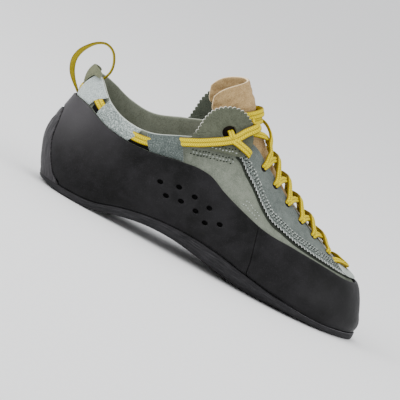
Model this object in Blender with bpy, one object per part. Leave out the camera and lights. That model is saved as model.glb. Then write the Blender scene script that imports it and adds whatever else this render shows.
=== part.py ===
"""Lace-up climbing shoe for the right foot, standing empty and unbent on its sole.

Frame: metres, +Z up, +X towards the toe, -Y the outer (lateral) side, +Y the inner (medial) side.
The tables are in millimetres, with x measured from the back of the heel.

The last is one smooth skin, lofted through sections that run from the feather line at the sole, over
the side, to the ridge of the instep. Every piece of the upper is a patch of that skin, between two
distances from it: the leather shell inside, and the rands, facing, ears and lace tunnels outside.
"""

import math

import bmesh
import bpy
import numpy as np

MM = 0.001
FIT_GAP = 0.3
X_MIDDLE = 119.75
Y_MIDDLE = -0.48

WALL = 2.0
RAND_GAP = 0.58
RAND_THICKNESS = 2.0
WRAP_FLANK = (0.06, 0.155)
WRAP_FLANK_COLUMNS = 13
WRAP_FLANK_ROOM = 0.01
WRAP_SEAM = 0.02
WRAP_END_TRIM = 0.004
WRAP_COLUMNS = 31
WRAP_ROWS = 6
FACING_GAP = 0.55
FACING_THICKNESS = 1.5
EAR_THICKNESS = 1.8
EAR_GAP = 0.4
TONGUE_THICKNESS = 2.2
INSOLE_THICKNESS = 1.6
INSOLE_CLEARANCE = 0.6
INSOLE_LIFT = 0.35
INSOLE_SHARES = (0.16,)
TAB_THICKNESS = 1.5
TAB_COLUMNS = 13
TAB_ROWS = 4
TAB_ROUNDING = 1.03
TAB_REACH = 0.105
TAB_FOOT_Z = 69.3
TAB_SHOULDER_Z = 80.6
TAB_TOP_Z = 83.0
TAB_FLANK_Z = 79.4
TAB_FLANK_TURNS = (0.02, 0.074)
TAB_GAP = 0.4
TAB_LEAN = 2.2
TUNNEL_EDGE = 0.9
TUNNEL_SWELL = 1.7
WRAP_THICKNESS = 2.7
WRAP_SINK = 2.5
WRAP_LEAST_V = 0.01
LACE_WIDTH = 5.6
LACE_THICKNESS = 2.4
TAPE_WIDTH = 4.6
TAPE_THICKNESS = 1.0

PINK_PITCH = 3.6
PINK_DEPTH = 1.2

# Each ring of the last runs from its own heel end to its own toe end.
RINGS = ("foot", "side", "brow", "edge", "top")
RING_REACH = {
    "foot": (13.0, 241.5),
    "side": (3.2, 242.6),
    "brow": (8.2, 231.5),
    "edge": (11.5, 217.0),
    "top": (15.0, 213.0),
}

# A row for each section, from heel to toe. station is the share of the length, y is the distance
# out from the centre line, z the height, for the five rings in turn.
SECTION_COLUMNS = ("station", "foot_y", "foot_z", "side_y", "side_z", "brow_y", "brow_z",
                   "edge_y", "edge_z", "top_y", "top_z")
LATERAL = [
    (0.000, 0.0, 5.0, 0.0, 31.0, 0.0, 58.0, 0.0, 78.0, 0.0, 103.0),
    (0.030, 15.5, 4.9, 17.5, 30.5, 14.0, 57.5, 10.5, 78.2, 12.0, 103.0),
    (0.080, 22.5, 4.9, 25.5, 29.0, 21.0, 55.5, 19.0, 69.0, 20.0, 103.0),
    (0.150, 26.5, 6.0, 28.5, 27.0, 25.0, 51.0, 23.5, 63.4, 24.0, 103.0),
    (0.240, 28.5, 12.0, 29.5, 29.0, 27.0, 49.0, 25.5, 63.7, 26.0, 103.0),
    (0.330, 31.5, 16.0, 32.5, 31.0, 29.5, 50.0, 25.5, 71.4, 23.5, 104.0),
    (0.430, 35.0, 17.4, 37.0, 31.0, 32.0, 51.0, 23.5, 80.5, 20.5, 105.0),
    (0.530, 38.5, 16.2, 41.5, 27.0, 35.0, 48.0, 19.0, 88.0, 12.0, 101.0),
    (0.630, 40.5, 12.3, 43.5, 22.0, 36.5, 43.0, 14.5, 77.0, 2.5, 84.5),
    (0.720, 40.0, 9.0, 43.0, 18.5, 36.0, 39.5, 13.0, 65.7, 1.0, 72.0),
    (0.810, 35.5, 6.4, 38.5, 16.5, 32.0, 37.0, 12.5, 55.9, -0.5, 61.0),
    (0.890, 26.5, 4.8, 29.5, 15.0, 25.0, 35.0, 11.0, 48.6, -2.0, 52.0),
    (0.950, 14.0, 4.7, 17.0, 14.0, 15.0, 34.0, 8.0, 42.9, -3.5, 45.0),
    (0.985, 2.5, 5.1, 5.0, 13.5, 4.0, 33.5, 2.0, 40.2, -4.2, 41.0),
    (1.000, -9.0, 5.4, -8.5, 13.5, -6.5, 33.0, -4.5, 39.5, -4.5, 40.0),
]
MEDIAL = [
    (0.000, 0.0, 5.0, 0.0, 31.0, 0.0, 58.0, 0.0, 78.0, 0.0, 103.0),
    (0.030, 15.5, 4.9, 17.5, 30.5, 14.0, 57.5, 10.5, 79.5, 12.0, 104.0),
    (0.080, 22.5, 5.0, 25.5, 29.0, 21.0, 56.0, 19.0, 76.5, 20.0, 105.0),
    (0.150, 25.0, 7.2, 28.0, 28.0, 24.5, 53.0, 23.5, 71.8, 24.0, 106.0),
    (0.240, 22.5, 14.5, 27.0, 32.0, 24.5, 52.0, 24.0, 70.8, 25.0, 107.0),
    (0.330, 20.0, 19.0, 25.5, 35.0, 24.0, 54.0, 22.5, 77.8, 22.0, 108.0),
    (0.430, 22.0, 20.0, 27.5, 35.0, 25.5, 55.0, 22.0, 85.5, 20.0, 109.0),
    (0.530, 27.5, 16.0, 32.0, 30.0, 28.5, 50.0, 18.0, 90.0, 12.0, 103.0),
    (0.630, 33.5, 10.0, 37.5, 23.0, 32.5, 44.0, 14.5, 78.0, 2.5, 84.5),
    (0.720, 38.0, 6.8, 41.5, 18.5, 35.0, 40.5, 14.5, 66.2, 1.5, 72.0),
    (0.810, 39.5, 5.4, 42.5, 16.0, 34.5, 38.0, 15.5, 56.0, 2.0, 61.0),
    (0.890, 36.5, 4.8, 39.5, 15.0, 31.0, 36.0, 15.5, 48.6, 3.0, 52.0),
    (0.950, 29.5, 4.8, 32.0, 14.0, 24.5, 34.5, 13.5, 42.9, 4.0, 45.0),
    (0.985, 19.5, 5.2, 21.0, 13.5, 15.5, 33.5, 9.0, 40.2, 4.4, 41.0),
    (1.000, 9.0, 5.4, 8.5, 13.5, 6.5, 33.0, 4.5, 39.5, 4.5, 40.0),
]

# Underside of the outsole: height of its edge on each side, and along its middle.
UNDERSIDE_COLUMNS = ("x", "lateral", "middle", "medial")
UNDERSIDE = [
    (10.0, 3.0, 3.0, 3.0),
    (16.0, 1.8, 1.2, 1.8),
    (22.0, 0.5, 0.1, 0.5),
    (27.0, 0.0, 0.0, 0.0),
    (40.0, 0.0, 0.0, 0.0),
    (46.0, 0.5, 0.0, 0.6),
    (53.0, 2.0, 1.2, 3.0),
    (70.0, 6.4, 5.5, 8.5),
    (88.0, 9.6, 8.3, 12.5),
    (107.0, 10.0, 8.3, 12.5),
    (127.0, 8.4, 5.6, 8.0),
    (148.0, 6.2, 2.0, 3.2),
    (165.0, 4.8, 0.0, 1.2),
    (185.0, 2.8, 0.0, 0.5),
    (205.0, 1.3, 0.0, 0.4),
    (224.0, 0.5, 0.0, 0.4),
    (244.0, 0.3, 0.0, 0.3),
]
FLAT_SHARE = 0.72
SOLE_OVERHANG = 2.9
SOLE_BULGE = 0.4
SOLE_TUCK = 0.7
SOLE_SHARES = (0.72, 0.16)
SOLE_SECTIONS = 32
SOLE_GAP = 0.45

# Upper edge of the rands on each side.
RAND_TOP_COLUMNS = ("x", "lateral", "medial")
RAND_TOP = [
    (5.0, 60.5, 60.5),
    (18.0, 59.0, 59.5),
    (31.0, 54.0, 56.0),
    (42.0, 52.0, 54.5),
    (65.0, 52.2, 55.0),
    (88.0, 56.5, 59.0),
    (100.0, 57.9, 60.0),
    (109.0, 57.0, 59.0),
    (120.0, 52.4, 54.5),
    (138.0, 46.4, 48.0),
    (155.0, 42.0, 43.5),
    (178.0, 40.0, 40.5),
    (200.0, 37.8, 38.5),
    (221.0, 35.0, 36.0),
    (234.0, 34.0, 34.0),
]
RAND_SEAM_X = 155.0
RAND_SEAM_HALF_GAP = 0.0018
RAND_EDGE_TAPER = 0.55
RAND_COLUMNS = {"rand_rear": 41, "rand_toe": 37}
RAND_ROWS = 6

# Edge of the sole rubber that wraps up the back of the heel, by turn around the heel.
HEEL_WRAP_COLUMNS = ("turn", "z")
HEEL_WRAP = [
    (0.000, 48.3),
    (0.030, 47.8),
    (0.056, 43.5),
    (0.080, 36.0),
    (0.098, 24.0),
    (0.114, 13.0),
    (0.131, 7.4),
    (0.148, 5.7),
]

# Vent holes through the rear rand, as x and z of their centres.
VENT_LENGTH = 4.4
VENT_HEIGHT = 3.2
VENT_DEPTHS = (18.0, 60.0)
VENT_SIDES = 10
VENTS = [
    (80.6, 39.0), (93.0, 41.8), (104.9, 41.0), (116.5, 39.3), (127.3, 33.3),
    (88.0, 32.9), (98.2, 34.5), (109.5, 33.5), (118.2, 29.7),
]

# Lower edge of the facing, from the ear to the toe.
FACING_LOW_COLUMNS = ("x", "z")
FACING_LOW = [
    (112.0, 77.0),
    (121.0, 75.0),
    (128.0, 69.5),
    (135.6, 64.2),
    (147.0, 55.2),
    (156.0, 49.3),
    (166.0, 46.4),
    (175.3, 43.9),
    (188.5, 41.6),
    (203.0, 39.6),
    (215.0, 37.8),
    (228.0, 36.0),
]
FACING_TURN = 0.505
FACING_ROWS = 3

# Outline of an ankle ear, seen from the side: the plain front and foot, then the pinked rear and top.
EAR_PLAIN = [(121.6, 89.2), (123.0, 84.0), (119.5, 75.6), (98.0, 70.6), (88.5, 68.0)]
EAR_PINKED = [(86.0, 72.0), (86.9, 81.0), (87.8, 90.0), (90.0, 95.6), (93.2, 99.2), (97.5, 101.8),
              (102.3, 103.0), (107.0, 102.4), (111.0, 100.4), (115.5, 97.0), (119.5, 92.4)]
EAR_REACH = (74.0, 132.0)
EAR_FOOT_V = 2.3
EAR_HOLE = (105.2, 87.1)
EAR_HOLE_RADIUS = 4.4
EAR_HOLE_SIDES = 14
EAR_COLUMNS = 10
EAR_ROWS = 7
EAR_TOP_V = 4.0
EAR_FORM_DEPTHS = (1.0, 60.0)
EAR_DRILL_DEPTHS = (0.5, 61.0)
MEDIAL_EAR_SHIFT = (-3.0, 5.0)

# Lace tunnels along the collar: x at the foot and at the top of each end.
TUNNEL_FOOT_V = 2.2
TUNNEL_TOP_V = 2.9
TUNNELS = {
    "rear": (24.5, 27.6, 49.5, 54.6),
    "front": (65.5, 58.8, 88.5, 80.5),
}
HEEL_TUNNEL_FRONT = (18.0, 26.0)
HEEL_TUNNEL_BACK = (0.020, 0.074)
TUNNEL_ROWS = 4
TUNNEL_COLUMNS = 7
RAND_CLEARANCE = 0.02
EDGE_LIMIT = 2.985

# Ridge of the tongue, with the radius it is curled to and how far round it reaches.
TONGUE_COLUMNS = ("x", "z", "radius", "spread")
TONGUE = [
    (103.5, 122.0, 18.8, 103.0),
    (112.5, 112.5, 18.4, 122.0),
    (121.0, 101.5, 17.6, 92.0),
    (132.0, 90.5, 17.0, 70.0),
    (145.0, 79.0, 16.0, 62.0),
    (160.0, 67.8, 16.5, 58.0),
    (177.0, 56.8, 18.0, 54.0),
    (193.0, 47.8, 19.5, 50.0),
    (207.0, 40.6, 21.0, 44.0),
    (219.0, 35.2, 23.0, 36.0),
]
TONGUE_CORNER = 0.3
TONGUE_COLUMNS_BUILT = 19
TONGUE_ROWS_BUILT = 13

# Lace bars over the instep, by x at the throat.
LACE_BARS = (137.0, 150.0, 164.0, 175.5, 188.0, 200.0)
LACE_BAR_V = 2.9
LACE_BAR_ROWS = (2.84, 2.92, 3.02, 3.3, 3.65)
BOTTOM_BAR_X = 208.5
BOTTOM_BAR_LIFT = 0.5

# Collar lace from the front tunnel over the ear, as x and z on the side and lift off the skin.
COLLAR_RUN = [
    (83.6, 68.6, 5.4),
    (86.0, 69.6, 6.4),
    (89.5, 71.2, 6.5),
    (98.0, 75.8, 6.4),
    (105.0, 79.8, 6.4),
    (110.5, 83.8, 6.4),
    (114.8, 90.2, 6.4),
    (119.2, 96.6, 5.8),
]
MEDIAL_RUN_RISE = 3.4
CROSSING_ROW = 1.95
CROSSING_ANGLES = (42.0, 26.0, 11.0)
CROSSING_LIFT = 2.2
LACE_ARM = [
    (115.9, 80.9, 5.95),
    (118.6, 80.4, 5.95),
    (121.6, 79.8, 5.8),
    (125.4, 78.9, 4.6),
]
TOP_BAR_ROW = 1.48
TOP_BAR_REACH = 62.0
TOP_BAR_LIFT = 1.6
GAP_LACE_SHARE = 0.55
GAP_LACE_WIDTH = 3.8
GAP_LACE_LIFT = 1.7
GAP_LACE_CLEARANCE = 0.0036

# Pull loop of tape in the middle plane, from outside the heel, over, to inside the collar.
LOOP_COLUMNS = ("x", "z", "turn")
LOOP_PATH = [
    (7.9, 61.6, 90.0),
    (6.4, 63.3, 88.0),
    (1.8, 67.7, 80.0),
    (-2.4, 73.2, 60.0),
    (-4.6, 80.5, 50.0),
    (-3.6, 86.5, 55.0),
    (-0.6, 91.8, 65.0),
    (4.0, 96.6, 80.0),
    (9.5, 98.8, 88.0),
    (15.0, 97.0, 90.0),
    (19.0, 91.6, 90.0),
    (20.6, 84.0, 90.0),
    (18.3, 77.4, 90.0),
    (14.6, 72.6, 90.0),
    (13.1, 69.0, 90.0),
]

COLOURS = {
    "rubber": ((0.022, 0.022, 0.023), 0.75),
    "suede": ((0.262, 0.296, 0.278), 0.92),
    "strip_suede": ((0.397, 0.462, 0.456), 0.92),
    "ear_leather": ((0.147, 0.168, 0.133), 0.9),
    "tongue_suede": ((0.479, 0.323, 0.174), 0.95),
    "insole_board": ((0.30, 0.25, 0.18), 0.9),
    "lace_cord": ((0.686, 0.539, 0.020), 0.7),
    "loop_tape": ((0.456, 0.376, 0.030), 0.65),
}


def columns(names, rows):
    """Turn a table of rows into one array for each named column."""
    return {name: np.array([row[i] for row in rows], dtype=float) for i, name in enumerate(names)}


def cubic(knots, values, at):
    """Smooth curve through the values, with each slope taken from its two neighbours."""
    knots = np.asarray(knots, dtype=float)
    values = np.asarray(values, dtype=float)
    steps = np.diff(knots)
    shape = (-1,) + (1,) * (values.ndim - 1)
    chords = np.diff(values, axis=0) / steps.reshape(shape)
    before = steps[:-1].reshape(shape)
    after = steps[1:].reshape(shape)
    inner = (chords[:-1] * after + chords[1:] * before) / (before + after)
    slopes = np.concatenate([chords[:1], inner, chords[-1:]])
    at = np.atleast_1d(np.asarray(at, dtype=float))
    i = np.clip(np.searchsorted(knots, at, side="right") - 1, 0, len(knots) - 2)
    h = steps[i].reshape(shape)
    t = ((at - knots[i]) / steps[i]).reshape(shape)
    rise = t * t * (3.0 - 2.0 * t)
    lead = t * (1.0 - t) ** 2
    trail = t * t * (t - 1.0)
    return (values[i] * (1.0 - rise) + values[i + 1] * rise
            + (slopes[i] * lead + slopes[i + 1] * trail) * h)


def line(table_columns, rows, key, at):
    """Height of a cut line at x, from the named column of its table."""
    data = columns(table_columns, rows)
    at = np.clip(at, data[table_columns[0]][0], data[table_columns[0]][-1])
    return cubic(data[table_columns[0]], data[key], at)


def station_turn(station):
    """Turn around the last, 0 at the heel and 1 at the toe, for a share of the length."""
    return np.arccos(1.0 - 2.0 * np.asarray(station, dtype=float)) / math.pi


def build_rings():
    """Ring points around the last: 0 to 1 runs down the outer side, 1 to 2 back up the inner side."""
    turns = []
    points = []
    for sign, rows in ((-1.0, LATERAL), (1.0, MEDIAL)):
        data = columns(SECTION_COLUMNS, rows)
        turn = station_turn(data["station"])
        rings = []
        for name in RINGS:
            heel, toe = RING_REACH[name]
            x = heel + data["station"] * (toe - heel)
            rings.append(np.stack([x, sign * data[name + "_y"], data[name + "_z"]], axis=1))
        rings = np.stack(rings, axis=1)
        if sign > 0:
            turn = (2.0 - turn)[::-1][1:]
            rings = rings[::-1][1:]
        turns.append(turn)
        points.append(rings)
    turn = np.concatenate(turns)
    rings = np.concatenate(points)
    wrap = 3
    turn = np.concatenate([turn[-1 - wrap:-1] - 2.0, turn, turn[1:1 + wrap] + 2.0])
    rings = np.concatenate([rings[-1 - wrap:-1], rings, rings[1:1 + wrap]])
    return turn, rings


RING_TURNS, RING_POINTS = build_rings()


def skin(u, v):
    """Points of the last's skin at turn u and height share v, where v counts the rings from 0 to 4."""
    u, v = np.broadcast_arrays(np.asarray(u, dtype=float), np.asarray(v, dtype=float))
    shape = u.shape
    rings = cubic(RING_TURNS, RING_POINTS, np.mod(u.ravel() + 0.2, 2.0) - 0.2)
    v = np.clip(v.ravel(), 0.0, len(RINGS) - 1.0)
    i = np.clip(np.floor(v).astype(int), 0, len(RINGS) - 2)
    t = (v - i)[:, None]
    n = np.arange(len(v))
    here = rings[n, i]
    there = rings[n, i + 1]
    back = np.where((i > 0)[:, None], rings[n, np.maximum(i - 1, 0)], 2.0 * here - there)
    ahead = np.where((i < len(RINGS) - 2)[:, None], rings[n, np.minimum(i + 2, len(RINGS) - 1)],
                     2.0 * there - here)
    slope_here = (there - back) / 2.0
    slope_there = (ahead - here) / 2.0
    rise = t * t * (3.0 - 2.0 * t)
    points = (here * (1.0 - rise) + there * rise + slope_here * t * (1.0 - t) ** 2
              + slope_there * t * t * (t - 1.0))
    return points.reshape(shape + (3,))


def outward(u, v):
    """Unit direction out of the skin, level at the feather line so that edges sit flat on the sole."""
    step = 0.002
    u, v = np.broadcast_arrays(np.asarray(u, dtype=float), np.asarray(v, dtype=float))
    low = np.maximum(v - 0.02, 0.0)
    high = np.minimum(v + 0.02, len(RINGS) - 1.0)
    along = skin(u + step, v) - skin(u - step, v)
    up = skin(u, high) - skin(u, low)
    normal = np.cross(along, up)
    level = np.clip(v / 0.35, 0.0, 1.0)
    normal[..., 2] *= level * level * (3.0 - 2.0 * level)
    return normal / np.linalg.norm(normal, axis=-1, keepdims=True)


def off_skin(u, v, distance):
    """Points at a distance outside the skin, or inside it where the distance is negative."""
    return skin(u, v) + outward(u, v) * np.asarray(distance, dtype=float)[..., None]


def solve_v(u, height_at_x):
    """Height share where the skin crosses a line given as height over x, for each turn u."""
    low = np.zeros_like(u)
    high = np.full_like(u, len(RINGS) - 1.0)
    for _ in range(40):
        middle = (low + high) / 2.0
        points = skin(u, middle)
        above = points[:, 2] > height_at_x(points[:, 0])
        high = np.where(above, middle, high)
        low = np.where(above, low, middle)
    return (low + high) / 2.0


def turn_at_x(x, v, side):
    """Turn on the named side where the skin at height share v has the given x."""
    low, high = 0.0, 1.0
    for _ in range(40):
        middle = (low + high) / 2.0
        turn = middle if side == "lateral" else 2.0 - middle
        if skin(turn, v)[0] < x:
            low = middle
        else:
            high = middle
    return middle if side == "lateral" else 2.0 - middle


def on_side(x, z, side):
    """Turn and height share of the skin's point at x and z on the named side."""
    v = 2.5
    for _ in range(14):
        u = turn_at_x(x, v, side)
        v = float(solve_v(np.array([u]), lambda at: np.full_like(at, z))[0])
    return u, v


def rand_top_v(u):
    """Height share of the rand's upper edge."""
    lateral = np.mod(u, 2.0) <= 1.0
    share = np.where(lateral, 0.0, 1.0)
    near_heel = np.minimum(np.mod(u, 2.0), 2.0 - np.mod(u, 2.0))
    share = np.where(near_heel < 0.1, 0.5 + (share - 0.5) * near_heel / 0.1, share)

    def height(x):
        return (line(RAND_TOP_COLUMNS, RAND_TOP, "lateral", x) * (1.0 - share)
                + line(RAND_TOP_COLUMNS, RAND_TOP, "medial", x) * share)
    return solve_v(u, height)


def heel_wrap_v(u):
    """Height share of the edge of the rubber that wraps up the heel, 0 where there is none."""
    turn = np.abs(np.mod(u + 1.0, 2.0) - 1.0)
    data = columns(HEEL_WRAP_COLUMNS, HEEL_WRAP)
    height = cubic(data["turn"], data["z"], np.clip(turn, 0.0, data["turn"][-1]))
    reached = solve_v(u, lambda x: height)
    return np.where(turn >= data["turn"][-1], 0.0, reached)


def facing_low_v(u):
    """Height share of the facing's lower edge."""
    return solve_v(u, lambda x: line(FACING_LOW_COLUMNS, FACING_LOW, "z", x))


def material(name):
    """Plain material of a named colour."""
    found = bpy.data.materials.get(name)
    if found:
        return found
    colour, roughness = COLOURS[name]
    made = bpy.data.materials.new(name)
    made.use_nodes = True
    shader = made.node_tree.nodes["Principled BSDF"]
    shader.inputs["Base Color"].default_value = colour + (1.0,)
    shader.inputs["Roughness"].default_value = roughness
    shader.inputs["Metallic"].default_value = 0.0
    made.diffuse_color = colour + (1.0,)
    return made


def add_object(name, vertices, faces, material_name, collection, smooth=True):
    """Add a closed mesh object from points in millimetres, faces pointing out."""
    points = (np.asarray(vertices, dtype=float) - (X_MIDDLE, Y_MIDDLE, 0.0)) * MM
    mesh = bpy.data.meshes.new(name)
    mesh.from_pydata([tuple(point) for point in points], [], faces)
    shape = bmesh.new()
    shape.from_mesh(mesh)
    bmesh.ops.recalc_face_normals(shape, faces=shape.faces)
    shape.to_mesh(mesh)
    shape.free()
    if material_name:
        mesh.materials.append(material(material_name))
    if smooth:
        mesh.shade_smooth()
        mesh.set_sharp_from_angle(angle=math.radians(40.0))
    made = bpy.data.objects.new(name, mesh)
    collection.objects.link(made)
    return made


def cut(target, cutter, operation):
    """Cut a piece with another form, which is hidden and left out of the model."""
    modifier = target.modifiers.new("cut", "BOOLEAN")
    modifier.operation = operation
    modifier.solver = "EXACT"
    modifier.object = cutter
    cutter.hide_render = True
    cutter.display_type = "WIRE"


def slab(inner, outer, closed):
    """Faces between two grids of points, columns by rows, round a loop or capped at both ends."""
    count, rows = inner.shape[:2]
    vertices = np.concatenate([outer.reshape(-1, 3), inner.reshape(-1, 3)])
    size = count * rows

    def at(layer, i, j):
        return layer * size + (i % count) * rows + j

    faces = []
    for i in range(count if closed else count - 1):
        for j in range(rows - 1):
            faces.append((at(0, i, j), at(0, i + 1, j), at(0, i + 1, j + 1), at(0, i, j + 1)))
            faces.append((at(1, i, j), at(1, i, j + 1), at(1, i + 1, j + 1), at(1, i + 1, j)))
        faces.append((at(0, i, 0), at(1, i, 0), at(1, i + 1, 0), at(0, i + 1, 0)))
        last = rows - 1
        faces.append((at(0, i, last), at(0, i + 1, last), at(1, i + 1, last), at(1, i, last)))
    if not closed:
        for j in range(rows - 1):
            faces.append((at(0, 0, j), at(0, 0, j + 1), at(1, 0, j + 1), at(1, 0, j)))
            end = count - 1
            faces.append((at(0, end, j), at(1, end, j), at(1, end, j + 1), at(0, end, j + 1)))
    return vertices, faces


def patch_points(u, v_low, v_high, rows, inner, outer):
    """Inner and outer grids of a patch of the skin; inner and outer hold a distance for each row."""
    share = np.linspace(0.0, 1.0, rows)
    v = v_low[:, None] + (v_high - v_low)[:, None] * share[None, :]
    turn = u if u.ndim == 2 else np.repeat(u[:, None], rows, axis=1)
    inner = np.broadcast_to(np.asarray(inner, dtype=float), turn.shape)
    outer = np.broadcast_to(np.asarray(outer, dtype=float), turn.shape)
    return off_skin(turn, v, inner), off_skin(turn, v, outer)


def prism(name, outline, y_from, y_to, collection):
    """Straight form of an outline in x and z, between two values of y."""
    count = len(outline)
    vertices = [(x, y_from, z) for x, z in outline] + [(x, y_to, z) for x, z in outline]
    faces = [tuple(range(count)), tuple(range(2 * count - 1, count - 1, -1))]
    for i in range(count):
        j = (i + 1) % count
        faces.append((i, i + count, j + count, j))
    return add_object(name, vertices, faces, None, collection, smooth=False)


def pinked(points, pitch, depth):
    """Outline through the points with pinked teeth standing out to its left."""
    points = np.array(points, dtype=float)
    lengths = np.concatenate([[0.0], np.cumsum(np.linalg.norm(np.diff(points, axis=0), axis=1))])
    teeth = max(2, round(lengths[-1] / pitch))
    made = []
    for i in range(2 * teeth + 1):
        reach = lengths[-1] * i / (2 * teeth)
        here = cubic(lengths, points, reach)[0]
        ahead = cubic(lengths, points, min(reach + 0.2, lengths[-1]))[0]
        behind = cubic(lengths, points, max(reach - 0.2, 0.0))[0]
        along = (ahead - behind) / np.linalg.norm(ahead - behind)
        out = np.array([-along[1], along[0]])
        made.append(tuple(here + out * (depth if i % 2 else 0.0)))
    return made


def swept(path, across, width, thickness, sides=10):
    """Flat oval lace or tape along a path; across gives the direction of its width at each point."""
    path = np.asarray(path, dtype=float)
    tangents = np.gradient(path, axis=0)
    tangents /= np.linalg.norm(tangents, axis=1, keepdims=True)
    across = across - tangents * np.sum(across * tangents, axis=1, keepdims=True)
    across /= np.linalg.norm(across, axis=1, keepdims=True)
    lift = np.cross(tangents, across)
    vertices = []
    for point, wide, high in zip(path, across, lift):
        for i in range(sides):
            angle = 2.0 * math.pi * (i + 0.5) / sides
            vertices.append(point + wide * (math.cos(angle) * width / 2.0)
                            + high * (math.sin(angle) * thickness / 2.0))
    faces = []
    for i in range(len(path) - 1):
        for j in range(sides):
            k = (j + 1) % sides
            faces.append((i * sides + j, i * sides + k, (i + 1) * sides + k, (i + 1) * sides + j))
    faces.append(tuple(range(sides)))
    last = (len(path) - 1) * sides
    faces.append(tuple(range(last + sides - 1, last - 1, -1)))
    return vertices, faces


def even_path(points, count):
    """Points spread evenly along a smooth curve through the given ones."""
    points = np.array(points, dtype=float)
    lengths = np.concatenate([[0.0], np.cumsum(np.linalg.norm(np.diff(points, axis=0), axis=1))])
    return cubic(lengths, points, np.linspace(0.0, lengths[-1], count))


def sole_turns(count):
    """Turns around the sole, the same stations on both sides, closer together at heel and toe."""
    half = np.linspace(0.0, 1.0, count + 1)
    return np.concatenate([half, 2.0 - half[-2:0:-1]])


def plate(rim_low, rim_high, shares, shape_low, shape_high, turns):
    """Plate from its rim rows inwards, closed across its middle by a ladder of faces.

    shape_low and shape_high give the height of the two faces at a share of the way out.
    """
    count = len(turns)
    half = count // 2
    centre = (rim_low[0] + rim_low[0][(-np.arange(count)) % count]) / 2.0
    loops = list(rim_low)
    for share in shares:
        flat = centre + (rim_low[0] - centre) * share
        flat[:, 2] = shape_low(share)
        loops.insert(0, flat)
    for share in shares:
        flat = centre + (rim_low[0] - centre) * share
        flat[:, 2] = shape_high(share)
        if share == shares[0]:
            loops.extend(rim_high)
        loops.append(flat)
    vertices = np.concatenate(loops)
    faces = []
    for k in range(len(loops) - 1):
        for i in range(count):
            j = (i + 1) % count
            faces.append((k * count + i, k * count + j, (k + 1) * count + j, (k + 1) * count + i))
    for start in (0, (len(loops) - 1) * count):
        for i in range(half):
            a, b = start + i, start + i + 1
            c, d = start + (count - i - 1) % count, start + (count - i) % count
            face = [a, b, c] if i == 0 else ([a, b, d] if i == half - 1 else [a, b, c, d])
            faces.append(tuple(face))
    return vertices, faces


def underside_heights(x, lateral, share):
    """Height of the outsole's underside at a share of the way out from its middle."""
    middle = line(UNDERSIDE_COLUMNS, UNDERSIDE, "middle", x)
    outer = np.where(lateral, line(UNDERSIDE_COLUMNS, UNDERSIDE, "lateral", x),
                     line(UNDERSIDE_COLUMNS, UNDERSIDE, "medial", x))
    lift = max(0.0, (share - FLAT_SHARE) / (1.0 - FLAT_SHARE)) ** 2
    return np.maximum(middle + (outer - middle) * lift, 0.0)


def make_outsole(collection, cutters):
    """Sole plate with arch and flat treads, and the rubber that wraps up the heel, in one solid."""
    turns = sole_turns(SOLE_SECTIONS)
    lateral = turns <= 1.0
    foot = skin(turns, 0.0)
    out = outward(turns, np.zeros_like(turns))
    top = foot[:, 2] - SOLE_GAP
    mirror_top = top[(-np.arange(len(turns))) % len(turns)]
    under = underside_heights(foot[:, 0], lateral, 1.0)

    def rim(distance, z):
        ring = foot + out * distance
        ring[:, 2] = z
        return ring

    def low(share):
        return underside_heights(foot[:, 0], lateral, share)

    def high(share):
        middle = (top + mirror_top) / 2.0
        return middle + (top - middle) * share

    rim_low = [rim(SOLE_OVERHANG - SOLE_TUCK, under)]
    rim_mid = rim(SOLE_OVERHANG + SOLE_BULGE, under + (top - under) * 0.4)
    rim_high = [rim_mid, rim(SOLE_OVERHANG, top)]
    vertices, faces = plate(rim_low, rim_high, SOLE_SHARES, low, high, turns)
    outsole = add_object("outsole", vertices, faces, "rubber", collection)

    wrap_end = HEEL_WRAP[-1][0] - WRAP_END_TRIM
    turns = np.linspace(-wrap_end, wrap_end, WRAP_COLUMNS)
    top_v = np.maximum(heel_wrap_v(turns) - WRAP_SEAM, WRAP_LEAST_V)
    inner, outer = patch_points(turns, np.zeros_like(turns), top_v, WRAP_ROWS, RAND_GAP,
                                WRAP_THICKNESS)
    skirt_inner = inner[:, :1] - (0.0, 0.0, WRAP_SINK)
    skirt_outer = outer[:, :1] - (0.0, 0.0, WRAP_SINK)
    inner = np.concatenate([skirt_inner, inner], axis=1)
    outer = np.concatenate([skirt_outer, outer], axis=1)
    vertices, faces = slab(inner, outer, closed=False)
    wrap = add_object("heel_wrap_form", vertices, faces, None, cutters)
    cut(outsole, wrap, "UNION")
    return outsole


def make_insole(collection):
    """Board that lies on the outsole inside the shell."""
    turns = sole_turns(SOLE_SECTIONS)
    v = np.full_like(turns, 0.03)
    rim = off_skin(turns, v, np.full_like(turns, -(WALL + INSOLE_CLEARANCE)))
    top = skin(turns, 0.0)[:, 2]
    mirror_top = top[(-np.arange(len(turns))) % len(turns)]

    def low(share):
        middle = (top + mirror_top) / 2.0
        return middle + (top - middle) * share + INSOLE_LIFT

    def high(share):
        return low(share) + INSOLE_THICKNESS

    lower = rim.copy()
    lower[:, 2] = low(1.0)
    upper = rim.copy()
    upper[:, 2] = high(1.0)
    vertices, faces = plate([lower], [upper], INSOLE_SHARES, low, high, turns)
    return add_object("insole", vertices, faces, "insole_board", collection)


def make_upper(collection):
    """Hollow leather shell, open at the collar and throat, and open underneath on the sole."""
    turns = sole_turns(SOLE_SECTIONS)
    rows = 11
    inner, outer = patch_points(turns, np.zeros_like(turns), np.full_like(turns, 3.0), rows, -WALL, 0.0)
    vertices, faces = slab(inner, outer, closed=True)
    return add_object("upper", vertices, faces, "suede", collection)


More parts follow.
